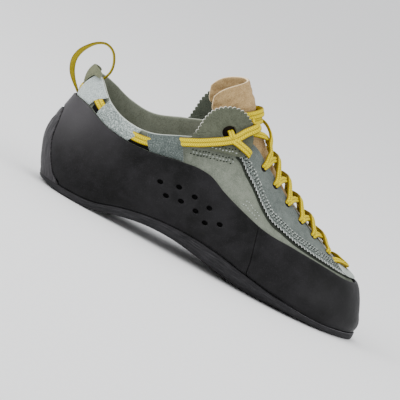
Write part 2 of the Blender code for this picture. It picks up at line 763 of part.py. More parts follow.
def make_rands(collection, cutters):
    """Rear rand around the heel with its vent holes, and toe rand around the forefoot."""
    seam = turn_at_x(RAND_SEAM_X, 1.2, "lateral")
    made = []
    for name, start, end in (("rand_rear", -seam, seam), ("rand_toe", seam, 2.0 - seam)):
        turns = np.linspace(start + RAND_SEAM_HALF_GAP, end - RAND_SEAM_HALF_GAP, RAND_COLUMNS[name])
        if name == "rand_rear":
            beside_wrap = np.linspace(WRAP_FLANK[0], WRAP_FLANK[1], WRAP_FLANK_COLUMNS)
            near = np.abs(turns)
            outside = turns[(near < WRAP_FLANK[0] - WRAP_FLANK_ROOM)
                            | (near > WRAP_FLANK[1] + WRAP_FLANK_ROOM)]
            turns = np.sort(np.concatenate([outside, beside_wrap, -beside_wrap]))
        v_low = heel_wrap_v(turns) + np.where(heel_wrap_v(turns) > 0.0, WRAP_SEAM, 0.0)
        v_high = rand_top_v(turns)
        taper = np.ones(RAND_ROWS)
        taper[-1] = RAND_EDGE_TAPER
        inner, outer = patch_points(turns, v_low, v_high, RAND_ROWS, RAND_GAP,
                                    RAND_GAP + RAND_THICKNESS * taper)
        vertices, faces = slab(inner, outer, closed=False)
        made.append(add_object(name, vertices, faces, "rubber", collection))
    sides = VENT_SIDES
    vertices = []
    faces = []
    for sign in (-1.0, 1.0):
        for x, z in VENTS:
            base = len(vertices)
            for y in VENT_DEPTHS:
                for i in range(sides):
                    angle = 2.0 * math.pi * i / sides
                    vertices.append((x + math.cos(angle) * VENT_LENGTH / 2.0, sign * y,
                                     z + math.sin(angle) * VENT_HEIGHT / 2.0))
            faces.append(tuple(range(base, base + sides)))
            faces.append(tuple(range(base + 2 * sides - 1, base + sides - 1, -1)))
            for i in range(sides):
                j = (i + 1) % sides
                faces.append((base + i, base + i + sides, base + j + sides, base + j))
    vents = add_object("vent_hole_forms", vertices, faces, None, cutters, smooth=False)
    cut(made[0], vents, "DIFFERENCE")
    return made


def make_facing(collection):
    """Lace facing on both sides of the throat, joined round its toe end, with a pinked lower edge."""
    start = FACING_TURN
    end = 2.0 - FACING_TURN
    samples = np.linspace(start, end, 400)
    edge = skin(samples, facing_low_v(samples))
    reach = np.concatenate([[0.0], np.cumsum(np.linalg.norm(np.diff(edge, axis=0), axis=1))])
    teeth = int(reach[-1] / PINK_PITCH)
    turns = np.interp(np.linspace(0.0, reach[-1], 2 * teeth + 1), reach, samples)
    v_low = facing_low_v(turns)
    tall = np.linalg.norm(skin(turns, np.full_like(turns, 3.0)) - skin(turns, v_low), axis=1)
    tooth = np.where(np.arange(len(turns)) % 2 == 1, PINK_DEPTH, 0.0)
    v_low = v_low + (3.0 - v_low) * tooth / np.maximum(tall, 4.0)
    v_high = np.full_like(turns, EDGE_LIMIT)
    inner, outer = patch_points(turns, v_low, v_high, FACING_ROWS, FACING_GAP,
                                FACING_GAP + FACING_THICKNESS)
    vertices, faces = slab(inner, outer, closed=False)
    return add_object("facing", vertices, faces, "suede", collection)


def make_ears(collection, cutters):
    """Pinked flaps that stand up at the ankle on each side, each with its lace hole."""
    made = []
    for side, sign, shift in (("lateral", -1.0, (0.0, 0.0)), ("medial", 1.0, MEDIAL_EAR_SHIFT)):
        u_rear = turn_at_x(EAR_REACH[0], 3.0, side)
        u_front = turn_at_x(EAR_REACH[1], 3.2, side)
        turns = np.linspace(u_rear, u_front, EAR_COLUMNS)
        distance = FACING_GAP + FACING_THICKNESS + EAR_GAP
        inner, outer = patch_points(turns, np.full_like(turns, EAR_FOOT_V),
                                    np.full_like(turns, EAR_TOP_V), EAR_ROWS,
                                    distance, distance + EAR_THICKNESS)
        vertices, faces = slab(inner, outer, closed=False)
        ear = add_object("ear_" + side, vertices, faces, "ear_leather", collection)
        outline = EAR_PLAIN + pinked(EAR_PINKED, PINK_PITCH, PINK_DEPTH)
        outline = [(x + shift[0], z + shift[1]) for x, z in outline]
        form = prism("ear_outline_" + side, outline, sign * EAR_FORM_DEPTHS[0],
                     sign * EAR_FORM_DEPTHS[1], cutters)
        cut(ear, form, "INTERSECT")
        hole = []
        for i in range(EAR_HOLE_SIDES):
            angle = 2.0 * math.pi * i / EAR_HOLE_SIDES
            hole.append((EAR_HOLE[0] + shift[0] + math.cos(angle) * EAR_HOLE_RADIUS,
                         EAR_HOLE[1] + shift[1] + math.sin(angle) * EAR_HOLE_RADIUS))
        drill = prism("ear_hole_" + side, hole, sign * EAR_DRILL_DEPTHS[0],
                      sign * EAR_DRILL_DEPTHS[1], cutters)
        cut(ear, drill, "DIFFERENCE")
        made.append(ear)
    return made


def tunnel_patch(name, ends_low, ends_high, collection):
    """Padded strip between the rand and the collar edge; ends are turns at its foot and top."""
    share = np.linspace(0.0, 1.0, TUNNEL_ROWS)
    along = np.linspace(0.0, 1.0, TUNNEL_COLUMNS)
    start = ends_low[0] + (ends_high[0] - ends_low[0]) * share
    end = ends_low[1] + (ends_high[1] - ends_low[1]) * share
    turns = start[None, :] + (end - start)[None, :] * along[:, None]
    v_rows = []
    for j in range(TUNNEL_ROWS):
        low = rand_top_v(turns[:, j]) + RAND_CLEARANCE
        v_rows.append(low + (EDGE_LIMIT - low) * share[j])
    v = np.stack(v_rows, axis=1)
    puff = TUNNEL_EDGE + TUNNEL_SWELL * np.sin(math.pi * share) ** 0.7
    inner = off_skin(turns, v, np.full_like(turns, FIT_GAP))
    outer = off_skin(turns, v, np.broadcast_to(FIT_GAP + puff, turns.shape))
    vertices, faces = slab(inner, outer, closed=False)
    return add_object(name, vertices, faces, "strip_suede", collection)


def tunnel_ends(side):
    """Turns of both ends of each lace tunnel, at its foot and at its top, unwound from the heel."""
    sign = 1.0 if side == "lateral" else -1.0
    low = turn_at_x(HEEL_TUNNEL_FRONT[0], TUNNEL_FOOT_V, "lateral")
    high = turn_at_x(HEEL_TUNNEL_FRONT[1], TUNNEL_TOP_V, "lateral")
    ends = {"heel": ((sign * HEEL_TUNNEL_BACK[0], sign * low), (sign * HEEL_TUNNEL_BACK[1], sign * high))}
    for name, row in TUNNELS.items():
        foot = [turn_at_x(x, TUNNEL_FOOT_V, side) for x in (row[0], row[2])]
        top = [turn_at_x(x, TUNNEL_TOP_V, side) for x in (row[1], row[3])]
        if side == "medial":
            foot = [turn - 2.0 for turn in foot]
            top = [turn - 2.0 for turn in top]
        ends[name] = (tuple(foot), tuple(top))
    return ends


def make_tunnels(collection):
    """Lace tunnels along the collar: a heel, a rear and a front piece on each side."""
    made = []
    for side in ("lateral", "medial"):
        for name, (ends_low, ends_high) in tunnel_ends(side).items():
            made.append(tunnel_patch("tunnel_" + name + "_" + side, ends_low, ends_high, collection))
    return made


def make_gap_laces(collection):
    """Short bits of the collar lace that show between the outer tunnels."""
    ends = tunnel_ends("lateral")
    made = []
    for number, (behind, ahead) in enumerate((("heel", "rear"), ("rear", "front")), start=1):
        start, end = (ends[name][0][at] + (ends[name][1][at] - ends[name][0][at]) * GAP_LACE_SHARE
                      for name, at in ((behind, 1), (ahead, 0)))
        turns = np.linspace(start + GAP_LACE_CLEARANCE, end - GAP_LACE_CLEARANCE, 4)
        low = rand_top_v(turns) + RAND_CLEARANCE
        v = low + (EDGE_LIMIT - low) * GAP_LACE_SHARE
        path = off_skin(turns, v, np.full_like(v, GAP_LACE_LIFT))
        across = np.cross(np.gradient(path, axis=0), outward(turns, v))
        vertices, faces = swept(path, across, GAP_LACE_WIDTH, LACE_THICKNESS, sides=8)
        made.append(add_object("collar_lace_%d" % number, vertices, faces, "lace_cord", collection))
    return made


def make_heel_tab(collection):
    """Rounded tab that stands up at the back of the collar, between the heel tunnels."""
    turns = np.linspace(-TAB_REACH, TAB_REACH, TAB_COLUMNS)
    rounding = np.sqrt(np.maximum(1.0 - (turns / (TAB_REACH * TAB_ROUNDING)) ** 2, 0.0))
    top = TAB_SHOULDER_Z + (TAB_TOP_Z - TAB_SHOULDER_Z) * rounding
    flank = np.interp(np.abs(turns), TAB_FLANK_TURNS, (0.0, 1.0))
    foot = TAB_FOOT_Z + (TAB_FLANK_Z - TAB_FOOT_Z) * flank
    v_high = solve_v(turns, lambda x: top)
    v_low = solve_v(turns, lambda x: foot)
    share = np.linspace(0.0, 1.0, TAB_ROWS)
    height = foot[:, None] + (top - foot)[:, None] * share[None, :]
    rise = np.clip((height - TAB_FOOT_Z) / (TAB_TOP_Z - TAB_FOOT_Z), 0.0, 1.0)
    inside = TAB_GAP + TAB_LEAN * np.sqrt(rise)
    inner, outer = patch_points(turns, v_low, v_high, TAB_ROWS, inside, inside + TAB_THICKNESS)
    vertices, faces = slab(inner, outer, closed=False)
    return add_object("heel_tab", vertices, faces, "ear_leather", collection)


def tongue_point(t, angle, lift):
    """Point of the tongue at row share t, angle round from the ridge in radians, and lift off it.

    Past a quarter turn the tongue runs straight back beside the ankle.
    """
    data = columns(TONGUE_COLUMNS, TONGUE)
    knots = np.arange(len(TONGUE), dtype=float)
    x, z, radius = (cubic(knots, data[key], t)[0] for key in ("x", "z", "radius"))
    ahead = [cubic(knots, data[key], t + 0.05)[0] for key in ("x", "z")]
    behind = [cubic(knots, data[key], t - 0.05)[0] for key in ("x", "z")]
    along = np.array([ahead[0] - behind[0], 0.0, ahead[1] - behind[1]])
    along /= np.linalg.norm(along)
    up = np.array([-along[2], 0.0, along[0]])
    centre = np.array([x, 0.0, z]) - up * radius
    bend = max(-math.pi / 2.0, min(math.pi / 2.0, angle))
    out = up * math.cos(bend) + np.array([0.0, 1.0, 0.0]) * math.sin(bend)
    return centre + out * (radius + lift) - up * (abs(angle - bend) * radius)


def make_tongue(collection):
    """Tongue curled over the instep like half a tube, with a rounded top."""
    count = TONGUE_COLUMNS_BUILT
    rows = TONGUE_ROWS_BUILT
    last = len(TONGUE) - 1.0
    data = columns(TONGUE_COLUMNS, TONGUE)
    knots = np.arange(len(TONGUE), dtype=float)
    grids = []
    for lift in (-TONGUE_THICKNESS, 0.0):
        grid = np.zeros((count, rows, 3))
        for i in range(count):
            base = last * i / (count - 1)
            for j in range(rows):
                across = -1.0 + 2.0 * j / (rows - 1)
                corner = TONGUE_CORNER * abs(across) ** 8 * max(0.0, 1.0 - base / 2.0)
                t = min(base + corner, last)
                spread = math.radians(cubic(knots, data["spread"], t)[0])
                grid[i, j] = tongue_point(t, across * spread, lift)
        grids.append(grid)
    vertices, faces = slab(grids[0], grids[1], closed=False)
    return add_object("tongue", vertices, faces, "tongue_suede", collection)


def make_laces(collection):
    """Lace bars over the instep, each resting on the facing at both ends and clear of the tongue."""
    made = []
    lift = FACING_GAP + FACING_THICKNESS + FIT_GAP + LACE_THICKNESS / 2.0
    for number, x in enumerate(LACE_BARS + (BOTTOM_BAR_X,), start=1):
        points = []
        extra = BOTTOM_BAR_LIFT if x == BOTTOM_BAR_X else 0.0
        for side in ("lateral", "medial"):
            u = turn_at_x(x, LACE_BAR_V, side)
            v = np.array(LACE_BAR_ROWS)
            half = off_skin(np.full_like(v, u), v, np.full_like(v, lift + extra))
            points.extend(half if side == "lateral" else half[::-1])
        path = even_path(points, 12)
        across = np.tile(np.array([0.8, 0.0, -0.6]), (len(path), 1))
        vertices, faces = swept(path, across, LACE_WIDTH, LACE_THICKNESS, sides=8)
        made.append(add_object("lace_bar_%d" % number, vertices, faces, "lace_cord", collection))
    return made


def side_route(rows, side, rise):
    """Points and outward directions of a lace route given on the side of the shoe."""
    points = []
    normals = []
    for x, z, lift in rows:
        u, v = on_side(x, z + rise, side)
        points.append(off_skin(u, v, lift))
        normals.append(outward(u, v))
    return points, normals


def lace_along(name, points, normals, count, collection):
    """Flat lace through the points, lying flat to the given outward directions."""
    points = np.array(points, dtype=float)
    normals = np.array(normals, dtype=float)
    lengths = np.concatenate([[0.0], np.cumsum(np.linalg.norm(np.diff(points, axis=0), axis=1))])
    at = np.linspace(0.0, lengths[-1], count)
    path = cubic(lengths, points, at)
    across = np.cross(np.gradient(path, axis=0), cubic(lengths, normals, at))
    vertices, faces = swept(path, across, LACE_WIDTH, LACE_THICKNESS, sides=8)
    return add_object(name, vertices, faces, "lace_cord", collection)


def make_ankle_laces(collection):
    """Collar lace out of the front tunnels, over the ears and across the tongue, with its arms."""
    points = []
    normals = []
    for side, sign in (("lateral", -1.0), ("medial", 1.0)):
        rise = 0.0 if side == "lateral" else MEDIAL_RUN_RISE
        run, out = side_route(COLLAR_RUN, side, rise)
        for degrees in CROSSING_ANGLES:
            angle = sign * math.radians(degrees)
            run.append(tongue_point(CROSSING_ROW, angle, CROSSING_LIFT))
            out.append(tongue_point(CROSSING_ROW, angle, CROSSING_LIFT + 1.0) - run[-1])
        points.extend(run if side == "lateral" else run[::-1])
        normals.extend(out if side == "lateral" else out[::-1])
    made = [lace_along("lace_crossing", points, normals, 44, collection)]
    for side in ("lateral", "medial"):
        rise = 0.0 if side == "lateral" else MEDIAL_RUN_RISE
        run, out = side_route(LACE_ARM, side, rise)
        made.append(lace_along("lace_arm_" + side, run, out, 8, collection))
    angles = np.radians(np.linspace(-TOP_BAR_REACH, TOP_BAR_REACH, 9))
    over = [tongue_point(TOP_BAR_ROW, angle, TOP_BAR_LIFT) for angle in angles]
    out = [tongue_point(TOP_BAR_ROW, angle, TOP_BAR_LIFT + 1.0) - point
           for angle, point in zip(angles, over)]
    made.append(lace_along("lace_bar_top", over, out, 12, collection))
    return made


def make_pull_loop(collection):
    """Tape loop at the heel, from outside the collar to inside it, with a half turn in it."""
    data = columns(LOOP_COLUMNS, LOOP_PATH)
    points = np.stack([data["x"], np.zeros(len(LOOP_PATH)), data["z"]], axis=1)
    lengths = np.concatenate([[0.0], np.cumsum(np.linalg.norm(np.diff(points, axis=0), axis=1))])
    at = np.linspace(0.0, lengths[-1], 31)
    path = cubic(lengths, points, at)
    turn = np.radians(cubic(lengths, data["turn"], at))
    tangents = np.gradient(path, axis=0)
    tangents /= np.linalg.norm(tangents, axis=1, keepdims=True)
    level = np.tile(np.array([0.0, 1.0, 0.0]), (len(at), 1))
    side = np.cross(level, tangents)
    across = level * np.sin(turn)[:, None] + side * np.cos(turn)[:, None]
    vertices, faces = swept(path, across, TAPE_WIDTH, TAPE_THICKNESS, sides=6)
    return add_object("pull_loop", vertices, faces, "loop_tape", collection)


def main():
    """Clear the scene and build the shoe."""
    for old in list(bpy.data.objects):
        bpy.data.objects.remove(old, do_unlink=True)
    parts = bpy.data.collections.new("climbing_shoe")
    cutters = bpy.data.collections.new("cutting_forms")
    bpy.context.scene.collection.children.link(parts)
    bpy.context.scene.collection.children.link(cutters)
    make_outsole(parts, cutters)
    make_insole(parts)
    make_upper(parts)
    make_rands(parts, cutters)
    make_facing(parts)
    make_ears(parts, cutters)
    make_tunnels(parts)
    make_heel_tab(parts)
    make_tongue(parts)
    make_laces(parts)
    make_gap_laces(parts)
    make_ankle_laces(parts)
    make_pull_loop(parts)


main()
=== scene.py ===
"""Looks of a lace-up climbing shoe for the right foot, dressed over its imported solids.

The last is one skin given by turn (round the plan) and height share. Every panel of the shoe is a patch
of that skin with a thickness, so that the panels lie on each other as a maker would lay them. Tables are
in millimetres with x from the back of the heel, and meshes are made in the row frame in metres.
"""

import logging
import math
from collections.abc import Callable
from dataclasses import dataclass, field
from enum import Enum

import bmesh
import bpy
import numpy as np
from mathutils import Matrix, Vector

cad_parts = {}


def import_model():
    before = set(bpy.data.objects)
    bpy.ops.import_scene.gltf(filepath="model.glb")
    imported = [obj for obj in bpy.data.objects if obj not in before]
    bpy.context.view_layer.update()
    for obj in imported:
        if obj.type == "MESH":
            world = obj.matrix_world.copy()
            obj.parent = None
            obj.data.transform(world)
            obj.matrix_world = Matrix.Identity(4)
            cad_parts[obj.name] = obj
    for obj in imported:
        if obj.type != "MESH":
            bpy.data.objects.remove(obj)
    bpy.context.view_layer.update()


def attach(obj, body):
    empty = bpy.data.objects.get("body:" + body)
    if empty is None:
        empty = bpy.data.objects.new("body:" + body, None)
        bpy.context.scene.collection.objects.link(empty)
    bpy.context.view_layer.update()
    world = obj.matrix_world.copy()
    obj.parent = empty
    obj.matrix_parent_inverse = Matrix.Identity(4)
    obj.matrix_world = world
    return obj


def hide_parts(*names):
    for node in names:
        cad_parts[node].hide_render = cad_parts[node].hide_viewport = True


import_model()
LOG = logging.getLogger("climbing_shoe")

MM = 0.001
X_MIDDLE = 119.75
Y_MIDDLE = -0.48
Array = np.ndarray
Piece = bpy.types.Object
Tree = bpy.types.NodeTree
Socket = bpy.types.NodeSocket


class Side(Enum):
    """The two sides of the right shoe, with the sign of y that each has."""

    LATERAL = -1
    MEDIAL = 1


def linear(code: str) -> tuple[float, float, float, float]:
    """Turn an sRGB hex colour into linear values.

    Args:
        code: Six hex digits, such as "8c948a".

    Returns:
        Linear red, green, blue and an alpha of 1.
    """
    values = [int(code[i:i + 2], 16) / 255.0 for i in (0, 2, 4)]
    low = [v / 12.92 if v <= 0.04045 else ((v + 0.055) / 1.055) ** 2.4 for v in values]
    return low[0], low[1], low[2], 1.0


def world(points: Array) -> Array:
    """Move points from the table's millimetres to the row frame in metres."""
    return (np.asarray(points, dtype=float) - (X_MIDDLE, Y_MIDDLE, 0.0)) * MM


def cubic(knots: Array, values: Array, at: Array) -> Array:
    """Smooth curve through the values, with each slope taken from its two neighbours.

    Args:
        knots: Rising positions of the values.
        values: One value, or one row of values, for each knot.
        at: Positions to read.

    Returns:
        A value, or row of values, for each position.
    """
    knots = np.asarray(knots, dtype=float)
    values = np.asarray(values, dtype=float)
    steps = np.diff(knots)
    shape = (-1,) + (1,) * (values.ndim - 1)
    chords = np.diff(values, axis=0) / steps.reshape(shape)
    before, after = steps[:-1].reshape(shape), steps[1:].reshape(shape)
    inner = (chords[:-1] * after + chords[1:] * before) / (before + after)
    slopes = np.concatenate([chords[:1], inner, chords[-1:]])
    at = np.atleast_1d(np.asarray(at, dtype=float))
    i = np.clip(np.searchsorted(knots, at, side="right") - 1, 0, len(knots) - 2)
    h = steps[i].reshape(shape)
    t = ((at - knots[i]) / steps[i]).reshape(shape)
    rise = t * t * (3.0 - 2.0 * t)
    return (values[i] * (1.0 - rise) + values[i + 1] * rise
            + (slopes[i] * t * (1.0 - t) ** 2 + slopes[i + 1] * t * t * (t - 1.0)) * h)


def table(rows: list[tuple], column: int, at: Array) -> Array:
    """Read a column of a table over its first column, held level past the ends."""
    first = np.array([row[0] for row in rows], dtype=float)
    values = np.array([row[column] for row in rows], dtype=float)
    return cubic(first, values, np.clip(at, first[0], first[-1]))


def reach_along(points: Array) -> Array:
    """Length along a row of points, from the first."""
    return np.concatenate([[0.0], np.cumsum(np.linalg.norm(np.diff(points, axis=0), axis=1))])


def bump_at(values: Array, centre: float, width: float) -> Array:
    """Smooth hump of height 1 round a centre."""
    return np.exp(-((np.asarray(values) - centre) / width) ** 2)


@dataclass
class Last:
    """The skin of the last, lofted through five rings."""

    reach: dict = field(default_factory=lambda: {
        "foot": (13.0, 241.5), "side": (3.2, 242.6), "brow": (8.2, 231.5),
        "edge": (11.5, 217.0), "top": (15.0, 213.0)})
    # station, then distance out and height for foot, side, brow, edge and top
    lateral: list = field(default_factory=lambda: [
        (0.000, 0.0, 5.0, 0.0, 31.0, 0.0, 58.0, 0.0, 78.0, 0.0, 103.0),
        (0.030, 15.5, 4.9, 17.5, 30.5, 14.0, 57.5, 10.5, 78.2, 12.0, 103.0),
        (0.080, 22.5, 4.9, 25.5, 29.0, 21.0, 55.5, 19.0, 69.0, 20.0, 103.0),
        (0.150, 26.5, 6.0, 28.5, 27.0, 25.0, 51.0, 23.5, 63.4, 24.0, 103.0),
        (0.240, 28.5, 12.0, 29.5, 29.0, 27.0, 49.0, 25.5, 63.7, 26.0, 103.0),
        (0.330, 31.5, 16.0, 32.5, 31.0, 29.5, 50.0, 25.5, 71.4, 23.5, 104.0),
        (0.430, 35.0, 17.4, 37.0, 31.0, 32.0, 51.0, 23.5, 80.5, 20.5, 105.0),
        (0.530, 38.5, 16.2, 41.5, 27.0, 35.0, 48.0, 19.0, 88.0, 12.0, 101.0),
        (0.630, 40.5, 12.3, 43.5, 22.0, 36.5, 43.0, 14.5, 77.0, 2.5, 84.5),
        (0.720, 40.0, 9.0, 43.0, 18.5, 36.0, 39.5, 13.0, 65.7, 1.0, 72.0),
        (0.810, 35.5, 6.4, 38.5, 16.5, 32.0, 37.0, 12.5, 55.9, -0.5, 61.0),
        (0.890, 26.5, 4.8, 29.5, 15.0, 25.0, 35.0, 11.0, 48.6, -2.0, 52.0),
        (0.950, 14.0, 4.7, 17.0, 14.0, 15.0, 34.0, 8.0, 42.9, -3.5, 45.0),
        (0.985, 2.5, 5.1, 5.0, 13.5, 4.0, 33.5, 2.0, 40.2, -4.2, 41.0),
        (1.000, -9.0, 5.4, -8.5, 13.5, -6.5, 33.0, -4.5, 39.5, -4.5, 40.0)])
    medial: list = field(default_factory=lambda: [
        (0.000, 0.0, 5.0, 0.0, 31.0, 0.0, 58.0, 0.0, 78.0, 0.0, 103.0),
        (0.030, 15.5, 4.9, 17.5, 30.5, 14.0, 57.5, 10.5, 79.5, 12.0, 104.0),
        (0.080, 22.5, 5.0, 25.5, 29.0, 21.0, 56.0, 19.0, 76.5, 20.0, 105.0),
        (0.150, 25.0, 7.2, 28.0, 28.0, 24.5, 53.0, 23.5, 71.8, 24.0, 106.0),
        (0.240, 22.5, 14.5, 27.0, 32.0, 24.5, 52.0, 24.0, 70.8, 25.0, 107.0),
        (0.330, 20.0, 19.0, 25.5, 35.0, 24.0, 54.0, 22.5, 77.8, 22.0, 108.0),
        (0.430, 22.0, 20.0, 27.5, 35.0, 25.5, 55.0, 22.0, 85.5, 20.0, 109.0),
        (0.530, 27.5, 16.0, 32.0, 30.0, 28.5, 50.0, 18.0, 90.0, 12.0, 103.0),
        (0.630, 33.5, 10.0, 37.5, 23.0, 32.5, 44.0, 14.5, 78.0, 2.5, 84.5),
        (0.720, 38.0, 6.8, 41.5, 18.5, 35.0, 40.5, 14.5, 66.2, 1.5, 72.0),
        (0.810, 39.5, 5.4, 42.5, 16.0, 34.5, 38.0, 15.5, 56.0, 2.0, 61.0),
        (0.890, 36.5, 4.8, 39.5, 15.0, 31.0, 36.0, 15.5, 48.6, 3.0, 52.0),
        (0.950, 29.5, 4.8, 32.0, 14.0, 24.5, 34.5, 13.5, 42.9, 4.0, 45.0),
        (0.985, 19.5, 5.2, 21.0, 13.5, 15.5, 33.5, 9.0, 40.2, 4.4, 41.0),
        (1.000, 9.0, 5.4, 8.5, 13.5, 6.5, 33.0, 4.5, 39.5, 4.5, 40.0)])

    def __post_init__(self) -> None:
        """Work out the ring points round the last, with a few repeated past the heel."""
        turns, points = [], []
        for sign, rows in ((-1.0, self.lateral), (1.0, self.medial)):
            rows = np.array(rows)
            turn = np.arccos(1.0 - 2.0 * rows[:, 0]) / math.pi
            rings = np.stack([np.stack([heel + rows[:, 0] * (toe - heel), sign * rows[:, 1 + 2 * k],
                                        rows[:, 2 + 2 * k]], axis=1)
                              for k, (heel, toe) in enumerate(self.reach.values())], axis=1)
            if sign > 0:
                turn, rings = (2.0 - turn)[::-1][1:], rings[::-1][1:]
            turns.append(turn)
            points.append(rings)
        turn, rings = np.concatenate(turns), np.concatenate(points)
        self.turns = np.concatenate([turn[-4:-1] - 2.0, turn, turn[1:4] + 2.0])
        self.rings = np.concatenate([rings[-4:-1], rings, rings[1:4]])
        self.top = len(self.reach) - 1.0

    def skin(self, u: Array, v: Array) -> Array:
        """Points of the skin.

        Args:
            u: Turn, 0 at the heel, 1 at the toe by the outer side, 2 back at the heel.
            v: Height share, which counts the rings from 0 to 4.

        Returns:
            Points in millimetres, with the shape of u and v and a last axis of 3.
        """
        u, v = np.broadcast_arrays(np.asarray(u, dtype=float), np.asarray(v, dtype=float))
        rings = cubic(self.turns, self.rings, np.mod(u.ravel() + 0.2, 2.0) - 0.2)
        flat = np.clip(v.ravel(), 0.0, self.top)
        i = np.clip(np.floor(flat).astype(int), 0, int(self.top) - 1)
        t = (flat - i)[:, None]
        n = np.arange(len(flat))
        here, there = rings[n, i], rings[n, i + 1]
        back = np.where((i > 0)[:, None], rings[n, np.maximum(i - 1, 0)], 2.0 * here - there)
        ahead = np.where((i < self.top - 1)[:, None], rings[n, np.minimum(i + 2, int(self.top))],
                         2.0 * there - here)
        rise = t * t * (3.0 - 2.0 * t)
        points = (here * (1.0 - rise) + there * rise + (there - back) / 2.0 * t * (1.0 - t) ** 2
                  + (ahead - here) / 2.0 * t * t * (t - 1.0))
        return points.reshape(u.shape + (3,))

    def outward(self, u: Array, v: Array) -> Array:
        """Unit direction out of the skin, level at the feather line."""
        u, v = np.broadcast_arrays(np.asarray(u, dtype=float), np.asarray(v, dtype=float))
        along = self.skin(u + 0.002, v) - self.skin(u - 0.002, v)
        up = self.skin(u, np.minimum(v + 0.02, self.top)) - self.skin(u, np.maximum(v - 0.02, 0.0))
        normal = np.cross(along, up)
        level = np.clip(v / 0.35, 0.0, 1.0)
        normal[..., 2] *= level * level * (3.0 - 2.0 * level)
        return normal / np.linalg.norm(normal, axis=-1, keepdims=True)

    def off(self, u: Array, v: Array, distance: Array) -> Array:
        """Points at a distance outside the skin, in millimetres."""
        return self.skin(u, v) + self.outward(u, v) * np.asarray(distance, dtype=float)[..., None]

    def v_at(self, u: Array, height: Callable[[Array], Array]) -> Array:
        """Height share where the skin crosses a height given over x."""
        low, high = np.zeros_like(u), np.full_like(u, self.top)
        for _ in range(34):
            middle = (low + high) / 2.0
            points = self.skin(u, middle)
            above = points[:, 2] > height(points[:, 0])
            high, low = np.where(above, middle, high), np.where(above, low, middle)
        return (low + high) / 2.0

    def u_at(self, x: Array, v: Array, side: Side) -> Array:
        """Turn on a side where the skin at height share v has the given x."""
        x, v = np.broadcast_arrays(np.atleast_1d(np.asarray(x, dtype=float)), np.asarray(v, dtype=float))
        low, high = np.zeros(x.shape), np.ones(x.shape)
        for _ in range(34):
            middle = (low + high) / 2.0
            turn = middle if side is Side.LATERAL else 2.0 - middle
            short = self.skin(turn, v)[..., 0] < x
            low, high = np.where(short, middle, low), np.where(short, high, middle)
        return middle if side is Side.LATERAL else 2.0 - middle

    def locate(self, x: Array, z: Array, side: Side) -> tuple[Array, Array]:
        """Turn and height share of the skin's points at x and z on a side."""
        x, z = np.atleast_1d(np.asarray(x, dtype=float)), np.atleast_1d(np.asarray(z, dtype=float))
        u, v = self.u_at(x, np.full_like(x, 2.6), side), np.full_like(x, 2.6)
        for _ in range(14):
            here = self.skin(u, v)
            du = (self.skin(u + 1e-4, v) - here) / 1e-4
            dv = (self.skin(u, v + 1e-4) - here) / 1e-4
            gap_x, gap_z = x - here[..., 0], z - here[..., 2]
            det = du[..., 0] * dv[..., 2] - dv[..., 0] * du[..., 2]
            det = np.where(np.abs(det) < 1e-6, 1e-6, det)
            u = u + np.clip((gap_x * dv[..., 2] - gap_z * dv[..., 0]) / det, -0.05, 0.05)
            v = np.clip(v + np.clip((gap_z * du[..., 0] - gap_x * du[..., 2]) / det, -0.4, 0.4),
                        0.05, self.top - 0.02)
        return u, v


LAST = Last()


